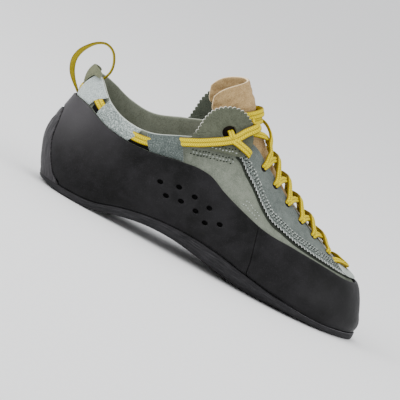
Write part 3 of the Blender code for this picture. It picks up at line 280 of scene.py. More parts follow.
@dataclass(frozen=True)
class Lines:
    """Cut lines of the panels, over x in millimetres."""

    rand_top: tuple = (
        (5.0, 60.5, 60.5), (18.0, 59.0, 59.5), (31.0, 54.0, 56.0), (42.0, 52.0, 54.5),
        (65.0, 52.2, 55.0), (88.0, 56.5, 59.0), (100.0, 57.9, 60.0), (109.0, 57.0, 59.0),
        (120.0, 52.4, 54.5), (138.0, 46.4, 48.0), (155.0, 42.0, 43.5), (178.0, 40.0, 40.5),
        (200.0, 37.8, 38.5), (221.0, 35.0, 36.0), (234.0, 34.0, 34.0))
    heel_wrap: tuple = (
        (0.000, 48.3), (0.030, 47.8), (0.056, 43.5), (0.080, 36.0), (0.098, 24.0), (0.114, 13.0),
        (0.131, 7.4), (0.148, 5.7))
    facing_low: tuple = (
        (112.0, 77.0), (121.0, 75.0), (128.0, 69.5), (135.6, 64.2), (147.0, 55.2), (156.0, 49.3),
        (166.0, 46.4), (175.3, 43.9), (188.5, 41.6), (203.0, 39.6), (215.0, 37.8), (228.0, 36.0))
    underside: tuple = (
        (10.0, 3.0, 3.0, 3.0), (16.0, 1.8, 1.2, 1.8), (22.0, 0.5, 0.1, 0.5), (27.0, 0.0, 0.0, 0.0),
        (40.0, 0.0, 0.0, 0.0), (46.0, 0.5, 0.0, 0.6), (53.0, 2.0, 1.2, 3.0), (70.0, 6.4, 5.5, 8.5),
        (88.0, 9.6, 8.3, 12.5), (107.0, 10.0, 8.3, 12.5), (127.0, 8.4, 5.6, 8.0),
        (148.0, 6.2, 2.0, 3.2), (165.0, 4.8, 0.0, 1.2), (185.0, 2.8, 0.0, 0.5),
        (205.0, 1.3, 0.0, 0.4), (224.0, 0.5, 0.0, 0.4), (244.0, 0.3, 0.0, 0.3))

    def rand_top_v(self, u: Array) -> Array:
        """Height share of the rands' upper edge."""
        turn = np.mod(u, 2.0)
        share = np.clip((turn - 0.88) / 0.24, 0.0, 1.0)
        near = np.minimum(turn, 2.0 - turn)
        share = np.where(near < 0.1, 0.5 + (share - 0.5) * near / 0.1, share)
        return LAST.v_at(u, lambda x: table(self.rand_top, 1, x) * (1.0 - share)
                         + table(self.rand_top, 2, x) * share)

    def heel_wrap_v(self, u: Array) -> Array:
        """Height share of the edge of the rubber that wraps up the heel, 0 where there is none."""
        turn = np.abs(np.mod(u + 1.0, 2.0) - 1.0)
        height = table(self.heel_wrap, 1, turn)
        return np.where(turn >= self.heel_wrap[-1][0], 0.0, LAST.v_at(u, lambda x: height))

    def wrap_steepness(self, u: Array) -> Array:
        """How much longer the wrap's edge is than its run round the heel, to keep its seam even."""
        turn = np.abs(np.mod(u + 1.0, 2.0) - 1.0)
        height = table(self.heel_wrap, 1, turn)
        run = reach_along(LAST.skin(u, np.ones_like(u)))
        return np.minimum(np.sqrt(1.0 + np.gradient(height, run) ** 2), 4.0)

    def facing_low_v(self, u: Array) -> Array:
        """Height share of the facing's lower edge."""
        return LAST.v_at(u, lambda x: table(self.facing_low, 1, x))


LINES = Lines()


def add_node(tree: Tree, kind: str, links: dict | None = None,
             **settings: object) -> bpy.types.Node:
    """Add a node with its settings, values and links.

    Args:
        tree: Tree that takes the node.
        kind: Blender's name for the node's type.
        links: For each input, by name or number, a socket to link or a value to set.
        settings: Properties of the node.

    Returns:
        The new node.
    """
    made = tree.nodes.new(kind)
    for key, value in settings.items():
        setattr(made, key, value)
    for key, value in (links or {}).items():
        if isinstance(value, Socket):
            tree.links.new(value, made.inputs[key])
        else:
            made.inputs[key].default_value = value
    return made


def add_object(name: str, data: bpy.types.ID) -> Piece:
    """Make an object of a mesh, light or camera, in the scene."""
    made = bpy.data.objects.new(name, data)
    bpy.context.scene.collection.objects.link(made)
    return made


@dataclass(frozen=True)
class Finish:
    """What every finish shares: the material's name and the slot it stands for."""

    name: str
    slot: str

    def start(self) -> tuple[bpy.types.Material, Tree]:
        """Make the empty material and give its tree."""
        made = bpy.data.materials.new(self.name)
        made.use_nodes = True
        return made, made.node_tree

    def coat(self, tree: Tree, tone: Socket, roughness: Socket | float, specular: float,
             height: Socket | None = None, depth_mm: float = 0.0, strength: float = 0.5) -> None:
        """Give the shader its colour, roughness, shine and bump.

        Args:
            tree: The material's tree.
            tone: Colour.
            roughness: Roughness, as a socket or one value.
            specular: Specular level.
            height: Height of the bump, 0 to 1.
            depth_mm: Depth of the bump in millimetres.
            strength: Strength of the bump.
        """
        shader = tree.nodes["Principled BSDF"]
        tree.links.new(tone, shader.inputs["Base Color"])
        if isinstance(roughness, float):
            shader.inputs["Roughness"].default_value = roughness
        else:
            tree.links.new(roughness, shader.inputs["Roughness"])
        if height is not None:
            bump = add_node(tree, "ShaderNodeBump", {"Strength": strength, "Distance": depth_mm * MM,
                                                     "Height": height})
            tree.links.new(bump.outputs[0], shader.inputs["Normal"])
        shader.inputs["Specular IOR Level"].default_value = specular

    def build(self) -> bpy.types.Material:
        """Make the material."""
        raise NotImplementedError

    def get(self) -> bpy.types.Material:
        """Give the material, made once."""
        return bpy.data.materials.get(self.name) or self.build()


def noise(tree: Tree, vector: Socket, size_mm: float, detail: float = 3.0,
          rough: float = 0.55) -> Socket:
    """Noise value whose lumps have a real size, on coordinates in metres."""
    return add_node(tree, "ShaderNodeTexNoise", {"Vector": vector, "Scale": 1.0 / (size_mm * MM),
                                                 "Detail": detail, "Roughness": rough}).outputs["Fac"]


def ramp(tree: Tree, value: Socket, low: float, high: float,
         to_low: float = 0.0, to_high: float = 1.0) -> Socket:
    """Stretch a value from one range to another, held at its ends."""
    return add_node(tree, "ShaderNodeMapRange", {0: value, 1: low, 2: high, 3: to_low, 4: to_high},
                    clamp=True).outputs[0]


def blend(tree: Tree, factor: object, first: object, second: object,
          kind: str = "MIX") -> Socket:
    """Mix two colours."""
    return add_node(tree, "ShaderNodeMix", {0: factor, 6: first, 7: second}, data_type="RGBA",
                    blend_type=kind).outputs[2]


def calc(tree: Tree, kind: str, first: object, second: object = 0.0) -> Socket:
    """Work out one value from two."""
    return add_node(tree, "ShaderNodeMath", {0: first, 1: second}, operation=kind).outputs[0]


@dataclass(frozen=True)
class Suede(Finish):
    """Brushed split leather: nap, cloudy tone, pale cut rim and, if wanted, a pebbled speckle with painted
    highlight on the grains and painted shade in the pits.
    """

    base: str = "8c948a"
    dark: str = "6e776d"
    pale: str = "aab0a6"
    rim: str = "c9cec6"
    speckle: float = 0.0
    speckle_mm: float = 0.9
    nap_mm: float = 0.45
    bump_mm: float = 0.14
    sheen: float = 0.35

    def build(self) -> bpy.types.Material:
        """Make the material from noise at the sizes of fibres, pebbles and clouds."""
        made, tree = self.start()
        place = add_node(tree, "ShaderNodeTexCoord").outputs["Object"]
        cloud = noise(tree, place, 14.0, 3.0)
        patch = noise(tree, place, 4.0, 4.0, 0.6)
        nap = noise(tree, place, self.nap_mm, 4.0, 0.7)
        tone = blend(tree, ramp(tree, cloud, 0.35, 0.68), linear(self.dark), linear(self.base))
        tone = blend(tree, ramp(tree, patch, 0.42, 0.72, 0.0, 0.55), tone, linear(self.pale))
        tone = blend(tree, ramp(tree, nap, 0.40, 0.60, 0.0, 0.55), tone, linear(self.pale))
        tone = blend(tree, ramp(tree, nap, 0.34, 0.47, 0.65, 0.0), tone, linear(self.dark))
        height = nap
        # painted highlight on the pebbles' tops and painted shade in the pits, following the bump
        if self.speckle > 0.0:
            pebble = noise(tree, place, self.speckle_mm, 1.5, 0.5)
            tone = blend(tree, ramp(tree, pebble, 0.52, 0.66, 0.0, self.speckle), tone, linear(self.rim))
            tone = blend(tree, ramp(tree, pebble, 0.34, 0.47, self.speckle, 0.0), tone, linear("3f4746"))
            height = calc(tree, "ADD", height, calc(tree, "MULTIPLY", pebble, 1.5))
        rim = add_node(tree, "ShaderNodeAttribute", attribute_name="rim").outputs["Fac"]
        tone = blend(tree, ramp(tree, rim, 0.25, 0.7), tone, linear(self.rim))
        self.coat(tree, tone, ramp(tree, patch, 0.3, 0.7, 0.86, 0.97), 0.25, height, self.bump_mm, 0.55)
        shader = tree.nodes["Principled BSDF"]
        shader.inputs["Sheen Weight"].default_value = self.sheen
        shader.inputs["Sheen Roughness"].default_value = 0.45
        shader.inputs["Sheen Tint"].default_value = linear(self.pale)
        return made


@dataclass(frozen=True)
class Rubber(Finish):
    """Black climbing rubber: satin, a little dusty, ground or striated where it was finished."""

    base: str = "1a1a1b"
    dust: str = "2e2d2f"
    rim: str = "3a393b"
    rim_share: float = 0.4
    # strength of the painted highlight at the top of the heel
    heel_highlight: float = 0.0
    gloss: tuple = (0.42, 0.58)
    streak_mm: float = 0.0
    streak: str = "4b4a4c"
    streak_turned: bool = False
    streak_depth_mm: float = 0.08
    grain_mm: float = 0.5

    def build(self) -> bpy.types.Material:
        """Make the material from dust clouds, smudges, pores and grinding streaks, and, where asked, a
        painted highlight at the top of the heel.
        """
        made, tree = self.start()
        place = add_node(tree, "ShaderNodeTexCoord")
        cloud = noise(tree, place.outputs["Object"], 26.0, 4.0, 0.6)
        smudge = noise(tree, place.outputs["Object"], 7.0, 5.0, 0.65)
        grain = noise(tree, place.outputs["Object"], self.grain_mm, 3.0, 0.7)
        tone = blend(tree, ramp(tree, cloud, 0.4, 0.66, 0.0, 0.7), linear(self.base), linear(self.dust))
        tone = blend(tree, ramp(tree, smudge, 0.48, 0.72, 0.0, 0.6), tone, linear(self.dust))
        tone = blend(tree, ramp(tree, grain, 0.56, 0.74, 0.0, 0.25), tone, linear("525153"))
        # painted highlight: the rubber at the top of the heel is painted paler where the light falls on it
        if self.heel_highlight > 0.0:
            spot = add_node(tree, "ShaderNodeSeparateXYZ", {0: place.outputs["Object"]})
            near = calc(tree, "MULTIPLY", ramp(tree, spot.outputs[0], -0.118, -0.06, self.heel_highlight, 0.0),
                        ramp(tree, spot.outputs[2], 0.018, 0.05))
            tone = blend(tree, near, tone, linear("4a484a"))
        height = calc(tree, "ADD", calc(tree, "MULTIPLY", grain, 0.5), calc(tree, "MULTIPLY", smudge, 0.6))
        if self.streak_mm > 0.0:
            stretch = (0.06, 1.0, 1.0) if self.streak_turned else (1.0, 0.05, 1.0)
            turned = add_node(tree, "ShaderNodeVectorMath", {0: place.outputs["UV"], 1: stretch},
                              operation="MULTIPLY").outputs[0]
            streak = add_node(tree, "ShaderNodeTexNoise", {"Vector": turned, "Scale": 1.0 / self.streak_mm,
                                                           "Detail": 3.0, "Roughness": 0.6}).outputs["Fac"]
            tone = blend(tree, ramp(tree, streak, 0.46, 0.66, 0.0, 0.75), tone, linear(self.streak))
            height = calc(tree, "ADD", height, calc(tree, "MULTIPLY", streak, 1.6))
        rim = add_node(tree, "ShaderNodeAttribute", attribute_name="rim").outputs["Fac"]
        tone = blend(tree, ramp(tree, rim, 0.1, 0.6, 0.0, self.rim_share), tone, linear(self.rim))
        self.coat(tree, tone, ramp(tree, smudge, 0.35, 0.7, *self.gloss), 0.14, height, self.streak_depth_mm)
        return made


@dataclass(frozen=True)
class Braid(Finish):
    """Flat braided lace or woven tape, with its plaits or ribs on the piece's own UV in millimetres."""

    base: str = "d2ba00"
    dark: str = "665000"
    light: str = "f0de00"
    pitch_mm: float = 1.5
    slant: float = 0.55
    ridges: float = 2.0
    # strength of the painted shade at the edges
    edge: float = 0.8
    bump_mm: float = 0.22

    def build(self) -> bpy.types.Material:
        """Make the material: slanted plaits in ridges that run lengthwise, with painted shade in the grooves
        and at the edges and a painted highlight on the crowns.
        """
        made, tree = self.start()
        place = add_node(tree, "ShaderNodeTexCoord")
        parts = add_node(tree, "ShaderNodeSeparateXYZ", {0: place.outputs["UV"]})
        along, across = parts.outputs[0], parts.outputs[1]
        # the across coordinate runs 0 to 1 over the width; each ridge folds it about its own middle
        fold = calc(tree, "PINGPONG", calc(tree, "MULTIPLY", across, self.ridges), 0.5)
        slanted = calc(tree, "ADD", calc(tree, "DIVIDE", along, self.pitch_mm),
                       calc(tree, "MULTIPLY", fold, self.slant * 4.0))
        plait = calc(tree, "SINE", calc(tree, "MULTIPLY", slanted, 2.0 * math.pi))
        plait = ramp(tree, plait, -1.0, 1.0)
        # painted shade in the grooves between ridges and between plaits, following the relief
        ridge = ramp(tree, fold, 0.0, 0.22, 0.35, 1.0)
        fibre = noise(tree, place.outputs["Object"], 0.35, 3.0, 0.7)
        shade = calc(tree, "MULTIPLY", ridge, ramp(tree, plait, 0.0, 0.6, 0.45, 1.0))
        tone = blend(tree, shade, linear(self.dark), linear(self.base))
        # painted highlight on the plaits' crowns, mixed with the fibre's own tone
        tone = blend(tree, ramp(tree, calc(tree, "MULTIPLY", shade, fibre), 0.35, 0.7), tone,
                     linear(self.light))
        # painted shade towards both edges
        from_middle = calc(tree, "ABSOLUTE", calc(tree, "SUBTRACT", across, 0.5))
        tone = blend(tree, ramp(tree, from_middle, 0.34, 0.5, 0.0, self.edge), tone, linear(self.dark))
        height = calc(tree, "ADD", shade, calc(tree, "MULTIPLY", fibre, 0.5))
        self.coat(tree, tone, ramp(tree, fibre, 0.3, 0.7, 0.62, 0.8), 0.15, height, self.bump_mm, 0.7)
        return made


@dataclass(frozen=True)
class Plain(Finish):
    """Small trim with a fine grain: thread, punched holes, or the floor."""

    base: str = "c8cdc6"
    dark: str = "9aa09a"
    grain_mm: float = 0.4
    roughness: float = 0.8

    def build(self) -> bpy.types.Material:
        """Make the material."""
        made, tree = self.start()
        place = add_node(tree, "ShaderNodeTexCoord").outputs["Object"]
        grain = noise(tree, place, self.grain_mm, 3.0)
        tone = blend(tree, ramp(tree, grain, 0.35, 0.65), linear(self.dark), linear(self.base))
        self.coat(tree, tone, self.roughness, 0.2)
        return made


# Brushed suede is matt and cloudy, and its cut edge shows the pale split. Its real fibres, about 0.1 mm,
# would not show in the render, so the nap is drawn at 0.45 mm or more.
QUARTER = Suede("quarter_suede_brushed", "suede", base="6a7064", dark="50564b", pale="84897c",
                rim="c2c7bd", sheen=0.12)
FACING = Suede("facing_suede_brushed", "suede", base="575e5a", dark="404744", pale="727974",
               rim="e3e8e4", sheen=0.1)
# Pebbled suede has raised grains of 0.6 to 0.8 mm; their tops are painted pale as painted highlight and the
# pits between them dark as painted shade.
# The heel strips are a copy of the pebbled suede painted lighter, as painted light where the light falls on
# them.
HEEL_STRIP_PAINTED_LIT = Suede("heel_strip_suede_pebbled", "strip_suede", base="a4aeac", dark="8f9a98", pale="bcc5c3",
                   rim="dfe5e2", speckle=0.4, speckle_mm=0.6, bump_mm=0.16)
STRIP = Suede("collar_strip_suede_pebbled", "strip_suede", base="7f8a86", dark="67726f", pale="9da6a2",
              rim="d3dad6", speckle=0.6, speckle_mm=0.8, bump_mm=0.2)
# The front strips are a copy of the pebbled suede painted darker, as painted shade.
FRONT_STRIP_PAINTED_SHADE = Suede("front_strip_suede_pebbled", "strip_suede", base="444d4a", dark="353d3b",
                    pale="5a635f", rim="a9b1ad", speckle=0.28, speckle_mm=0.6, bump_mm=0.14, sheen=0.12)
# Split leather is smoother than suede, darker, with only a little nap.
EAR = Suede("ear_split_leather_smooth", "ear_leather", base="4d5143", dark="404437", pale="5f6353",
            rim="efeee4", nap_mm=0.8, bump_mm=0.07, sheen=0.12)
TAB_LEATHER = Suede("heel_tab_leather_smooth", "ear_leather", base="646753", dark="535643", pale="74775f",
                    rim="7f826b", nap_mm=0.8, bump_mm=0.07, sheen=0.12)
END_LEATHER = Suede("toe_end_leather_smooth", "suede", base="9aa29c", dark="868e88", pale="b0b7b1",
                    rim="c4cac5", nap_mm=0.7, bump_mm=0.06, sheen=0.2)
LINING = Suede("collar_lining_leather", "suede", base="757a6b", dark="636858", pale="8b8f80",
               rim="a9ada0", nap_mm=0.7, bump_mm=0.08, sheen=0.15)
EAR_BACK = Suede("ear_split_leather_back", "ear_leather", base="4c5247", dark="3c4138", pale="60665a",
                 rim="60665a", nap_mm=0.7, bump_mm=0.1, sheen=0.1)
# Tan suede with long nap, brighter where it was brushed, and a cream cut edge.
TONGUE = Suede("tongue_suede_tan", "tongue_suede", base="a08459", dark="7f6440", pale="bfa274",
               rim="f4dfb8", nap_mm=0.7, bump_mm=0.25, sheen=0.15)
# Felted board is fibrous and wholly matt.
BOARD = Suede("insole_board_felted", "insole_board", base="8c7f66", dark="6f644f", pale="a89b82",
              rim="a89b82")
# Climbing rubber is near black and satin. Moulded, it is smooth under a film of dust; ground or brushed,
# it shows pale lengthwise streaks.
# The rand carries a painted highlight at the top of the heel.
RAND = Rubber("rand_rubber_moulded", "rubber", base="060606", dust="1e1d1f", rim="242325", heel_highlight=0.7)
# The sole edge's pale rim colour is a painted highlight along its top edge towards the toe.
SOLE_EDGE = Rubber("sole_rubber_ground_edge", "rubber", base="121213", dust="212022", rim="8b8a8e",
                   rim_share=1.0, streak_mm=0.7, streak="3e3d3f", streak_turned=True, gloss=(0.55, 0.7))
HEEL_RUBBER = Rubber("heel_rubber_brushed", "rubber", base="1a191b", dust="302e30", rim="363436",
                     streak_mm=0.6, streak="5a585a", gloss=(0.5, 0.65), streak_depth_mm=0.15)
# Braid shows slanted plaits in two lengthwise ridges, woven tape fine ribs; both are painted darker at their
# edges and in their grooves as painted shade.
# Real plaits of about 1 mm are drawn at 1.5 mm to show.
LACE = Braid("lace_flat_braided", "lace_cord")
TAPE = Braid("loop_tape_woven", "loop_tape", base="9c8a06", dark="615200", light="d2c446", pitch_mm=0.8,
             slant=0.0, ridges=5.0, bump_mm=0.1)
# Small trim: black cement under the rands, which is also painted shade where the vents and the collar slots
# show it, waxed thread, a painted shadow line under the facing's edge, dark beads of painted shade behind the
# ear's hole and in the lace holes, and holes that swallow the light, drawn as painted shadow.
CEMENT_AND_PAINTED_SHADE = Plain("rand_cement_black", "suede", base="0b0b0b", dark="050505", roughness=0.9)
THREAD = Plain("seam_thread_pale", "suede", base="b9bfb9", dark="8b918b")
# painted shadow: a dark line under the facing's pinked edge
SEAM_PAINTED_SHADOW = Plain("facing_seam_shadow", "suede", base="343831", dark="22261f", roughness=0.95)
# painted shade: dark beads behind the ear's hole and in the lace holes, where only shade shows
HOLE_PAINTED_SHADE = Plain("ear_hole_dark_leather", "ear_leather", base="1e140c", dark="0d0906", roughness=0.95)
DARK_HOLE = Plain("punched_hole_shadow", "suede", base="1d211e", dark="121512", roughness=0.95)


def make_object(name: str, vertices: Array, faces: list, uvs: Array | None, rims: Array | None,
                finishes: list[Finish], face_slots: Array | None = None) -> Piece:
    """Make a mesh object in the row frame.

    Args:
        name: Name of the piece.
        vertices: Points in millimetres.
        faces: Corner numbers of each face.
        uvs: Texture place of each point.
        rims: 0 to 1 for each point, 1 at a cut edge.
        finishes: Finishes of the material slots.
        face_slots: Slot of each face, all 0 if left out.

    Returns:
        The object, in the scene.
    """
    mesh = bpy.data.meshes.new(name)
    mesh.from_pydata([tuple(p) for p in world(vertices)], [], faces)
    if uvs is not None:
        layer = mesh.uv_layers.new(name="UVMap")
        corners = np.zeros(len(mesh.loops), dtype=np.int32)
        mesh.loops.foreach_get("vertex_index", corners)
        layer.data.foreach_set("uv", np.asarray(uvs, dtype=np.float32)[corners].ravel())
    if rims is not None:
        mesh.attributes.new("rim", "FLOAT", "POINT").data.foreach_set(
            "value", np.asarray(rims, dtype=np.float32))
    for finish in finishes:
        mesh.materials.append(finish.get())
    if face_slots is not None:
        mesh.polygons.foreach_set("material_index", np.asarray(face_slots, dtype=np.int32))
    shape = bmesh.new()
    shape.from_mesh(mesh)
    bmesh.ops.recalc_face_normals(shape, faces=shape.faces)
    shape.to_mesh(mesh)
    shape.free()
    mesh.shade_smooth()
    mesh.update()
    return add_object(name, mesh)


def dress(piece: Piece, finish: Finish, *nodes: str) -> Piece:
    """Let a piece ride on the shoe and stand for its CAD nodes."""
    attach(piece, "root")
    if nodes:
        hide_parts(*nodes)
    LOG.info("%s: %d faces, for %s", piece.name, len(piece.data.polygons), ", ".join(nodes) or "trim")
    return piece


def apply_modifiers(piece: Piece) -> None:
    """Turn a piece and its modifiers into one plain mesh."""
    graph = bpy.context.evaluated_depsgraph_get()
    mesh = bpy.data.meshes.new_from_object(piece.evaluated_get(graph), depsgraph=graph)
    piece.modifiers.clear()
    piece.data = mesh


def edge_shares(length: Array | float, radius: float, count: int) -> Array:
    """Shares along a length, closer together within a radius of both ends so that edges can be rounded.

    Args:
        length: Length of each column in millimetres.
        radius: Rounding radius in millimetres.
        count: Number of even steps between the rounded ends.

    Returns:
        One row of shares for each column.
    """
    length = np.atleast_1d(np.asarray(length, dtype=float))[:, None]
    steps = np.array([0.0, 0.06, 0.22, 0.5, 1.0]) * radius
    near = np.minimum(steps[None, :] / length, 0.45)
    middle = near[:, -1:] + (1.0 - 2.0 * near[:, -1:]) * np.linspace(0.0, 1.0, count + 1)[None, 1:-1]
    return np.concatenate([near, middle, 1.0 - near[:, ::-1]], axis=1)


def rounding(distance: Array, radius: float) -> Array:
    """Share of the thickness left at a distance from a cut edge."""
    t = np.clip(distance / radius, 0.0, 1.0)
    return np.sqrt(np.maximum(1.0 - (1.0 - t) ** 2, 0.02))


def slab_faces(columns: int, rows: int, closed: bool) -> list[Array]:
    """Faces of a slab whose outer grid of points is followed by its inner one.

    Args:
        columns: Columns of each grid.
        rows: Points in each column.
        closed: Whether the last column joins the first.

    Returns:
        Faces of the outer side, inner side, foot and head, then of both ends if the slab isn't closed.
    """
    size = columns * rows
    i, j = np.arange(columns if closed else columns - 1), np.arange(rows - 1)
    foot, next_foot = i * rows, ((i + 1) % columns) * rows
    head, next_head = foot + rows - 1, next_foot + rows - 1
    a, b = ((first[:, None] + j[None, :]).ravel() for first in (foot, next_foot))
    parts = [(a, b, b + 1, a + 1), (a + size, a + 1 + size, b + 1 + size, b + size),
             (foot, foot + size, next_foot + size, next_foot),
             (head, next_head, next_head + size, head + size)]
    if not closed:
        k = (columns - 1) * rows + j
        parts += [(j, j + 1, j + 1 + size, j + size), (k, k + size, k + 1 + size, k + 1)]
    return [np.stack(part, axis=1) for part in parts]


def make_slab(name: str, outer: Array, inner: Array, uv: Array, rims: Array, finishes: list[Finish],
              closed: bool = False, part_slots: tuple = (0, 0, 0, 0),
              point_slots: Array | None = None) -> Piece:
    """Make a piece from the grids of its outer and inner side.

    Args:
        name: Name of the piece.
        outer: Points of the outer side in millimetres, over columns and rows.
        inner: Points of the inner side.
        uv: Texture place of each point of a grid.
        rims: 0 to 1 for each point of a grid, 1 at a cut edge.
        finishes: Finishes of the material slots.
        closed: Whether the last column joins the first.
        part_slots: Slots of the outer side, inner side, foot and head.
        point_slots: Slot at each point of the outer side, where they differ.

    Returns:
        The object.
    """
    parts = slab_faces(*rims.shape, closed)
    counts = [len(part) for part in parts]
    slots = np.repeat((part_slots + (0, 0))[:len(parts)], counts)
    if point_slots is not None:
        slots[:counts[0]] = point_slots[parts[0][:, 0]]
    vertices = np.concatenate([outer.reshape(-1, 3), inner.reshape(-1, 3)])
    return make_object(name, vertices, np.concatenate(parts).tolist(), np.tile(uv.reshape(-1, 2), (2, 1)),
                       np.tile(rims.ravel(), 2), finishes, slots)


def ring_faces(count: int, rings: int) -> list[list[int]]:
    """Faces of a flat plate made of rings, from the middle of one face round to that of the other.

    Args:
        count: Points in each ring, the first at the heel.
        rings: Number of rings.

    Returns:
        Corner numbers of each face, with both middles closed from side to side.
    """
    faces = []
    i = np.arange(count)
    for k in range(rings - 1):
        a, b = k * count + i, k * count + (i + 1) % count
        faces += np.stack([a, b, b + count, a + count], axis=1).tolist()
    for start in (0, (rings - 1) * count):
        for n in range(count // 2):
            c, d = start + (count - n - 1) % count, start + (count - n) % count
            a, b = start + n, start + n + 1
            faces.append([a, b, c] if n == 0 else ([a, b, d] if n == count // 2 - 1 else [a, b, c, d]))
    return faces


@dataclass
class Panel:
    """A patch of the last's skin with a thickness and rounded cut edges."""

    name: str
    turns: Array
    v_low: Array
    v_high: Array
    inner: float
    outer: float
    rows: int = 24
    radius: float = 0.8
    closed: bool = False
    end_radius: float = 0.8
    foot_radius: float = 0.8
    foot_drop: float = 0.0
    relief: Callable[[Array, Array, Array], Array] | None = None

    def grid(self) -> tuple[Array, Array, Array]:
        """Turns, height shares and the thickness left, over the panel's columns and rows."""
        low, high = self.v_low, self.v_high
        probe = LAST.skin(self.turns[:, None], low[:, None] + (high - low)[:, None]
                          * np.linspace(0.0, 1.0, 9)[None, :])
        tall = np.sum(np.linalg.norm(np.diff(probe, axis=1), axis=2), axis=1)
        shares = edge_shares(np.maximum(tall, 0.5), self.radius, self.rows)
        v = low[:, None] + (high - low)[:, None] * shares
        u = np.repeat(self.turns[:, None], v.shape[1], axis=1)
        left = rounding((1.0 - shares) * tall[:, None], self.radius)
        left = left * rounding(shares * tall[:, None], self.foot_radius)
        if not self.closed:
            line = reach_along(LAST.skin(self.turns, (low + high) / 2.0))
            left = left * rounding(np.minimum(line, line[-1] - line), self.end_radius)[:, None]
        return u, v, left

    def mesh(self, finishes: list[Finish], inner_slot: int = 0,
             outer_slot: Callable[[Array, Array], Array] | None = None) -> Piece:
        """Build the panel.

        Args:
            finishes: Finishes of the material slots, the first for the outer face.
            inner_slot: Slot of the inner face.
            outer_slot: Gives the slot of each outer face from its turn and height share.

        Returns:
            The panel's object.
        """
        u, v, left = self.grid()
        middle, half = (self.inner + self.outer) / 2.0, (self.outer - self.inner) / 2.0
        skin, normal = LAST.skin(u, v), LAST.outward(u, v)
        lift = np.zeros(u.shape) if self.relief is None else self.relief(skin, u, v)
        outer = skin + normal * (middle + half * left + lift)[..., None]
        inner = skin + normal * (middle - half * left + lift)[..., None]
        drop = self.foot_drop * np.clip(1.0 - v / 0.06, 0.0, 1.0)
        outer[..., 2] -= drop
        inner[..., 2] -= drop
        n, m = u.shape
        across = np.concatenate([np.zeros((n, 1)), np.cumsum(
            np.linalg.norm(np.diff(skin, axis=1), axis=2), axis=1)], axis=1)
        along = np.repeat(reach_along(skin[:, m // 2])[:, None], m, axis=1)
        slots = None if outer_slot is None else outer_slot(u.ravel(), v.ravel())
        return make_slab(self.name, outer, inner, np.stack([along, across], axis=2), 1.0 - left, finishes,
                         self.closed, (0, inner_slot, 0, 0), slots)


def even_turns(start: float, end: float, step_mm: float, v: float, radius: float) -> Array:
    """Turns spread evenly by length along the skin, closer together near both ends.

    Args:
        start: First turn.
        end: Last turn.
        step_mm: Spacing in millimetres.
        v: Height share where the length is measured.
        radius: Rounding radius at the ends in millimetres.

    Returns:
        The turns.
    """
    samples = np.linspace(start, end, 600)
    line = reach_along(LAST.skin(samples, np.full_like(samples, v)))
    count = max(4, int(line[-1] / step_mm))
    shares = edge_shares(line[-1], radius, count)[0]
    return np.interp(shares * line[-1], line, samples)


def closed_turns(count: int) -> Array:
    """Turns once round the last, spread so that heel and toe have as many as the sides."""
    half = np.linspace(0.0, 1.0, count // 2 + 1)
    return np.concatenate([half, 2.0 - half[-2:0:-1]])


def ribbon(name: str, path: Array, normals: Array, width: float, thickness: float, finish: Finish,
           sides: int = 14, step: float = 0.8, groove: float = 0.0) -> Piece:
    """Flat lace or tape along a route.

    Args:
        name: Name of the piece.
        path: Points of the route in millimetres.
        normals: Direction that its flat face looks to, at each point.
        width: Width in millimetres.
        thickness: Thickness in millimetres.
        finish: Its finish.
        sides: Points round its section.
        step: Spacing of the sections in millimetres.
        groove: Depth of the furrow down its middle, as a share of the thickness.

    Returns:
        The object.
    """
    path, normals = np.asarray(path, dtype=float), np.asarray(normals, dtype=float)
    line = reach_along(path)
    count = max(6, int(line[-1] / step))
    at = np.linspace(0.0, line[-1], count)
    points = cubic(line, path, at)
    facing = cubic(line, normals, at)
    tangent = np.gradient(points, axis=0)
    tangent /= np.linalg.norm(tangent, axis=1, keepdims=True)
    across = np.cross(tangent, facing)
    across /= np.linalg.norm(across, axis=1, keepdims=True)
    high = np.cross(across, tangent)
    angle = 2.0 * math.pi * np.arange(sides) / sides
    wide = np.sign(np.cos(angle)) * np.abs(np.cos(angle)) ** 0.75 * width / 2.0
    tall = np.sign(np.sin(angle)) * np.abs(np.sin(angle)) ** 0.8 * thickness / 2.0
    tall = tall * (1.0 - groove * np.exp(-(wide / (width * 0.13)) ** 2))
    end = np.minimum(at, line[-1] - at)
    shrink = rounding(end, thickness * 0.5)
    wide_here, tall_here = wide[None, :] * (0.7 + 0.3 * shrink[:, None]), tall[None, :] * shrink[:, None]
    vertices = (points[:, None, :] + across[:, None, :] * wide_here[..., None]
                + high[:, None, :] * tall_here[..., None]).reshape(-1, 3)
    uv = np.stack([np.repeat(at, sides), np.tile(wide / width + 0.5, count)], axis=1)
    faces = [(i * sides + j, i * sides + (j + 1) % sides, (i + 1) * sides + (j + 1) % sides,
              (i + 1) * sides + j) for i in range(count - 1) for j in range(sides)]
    faces.append(tuple(range(sides)))
    faces.append(tuple(range(count * sides - 1, (count - 1) * sides - 1, -1)))
    return make_object(name, vertices, faces, uv, None, [finish])


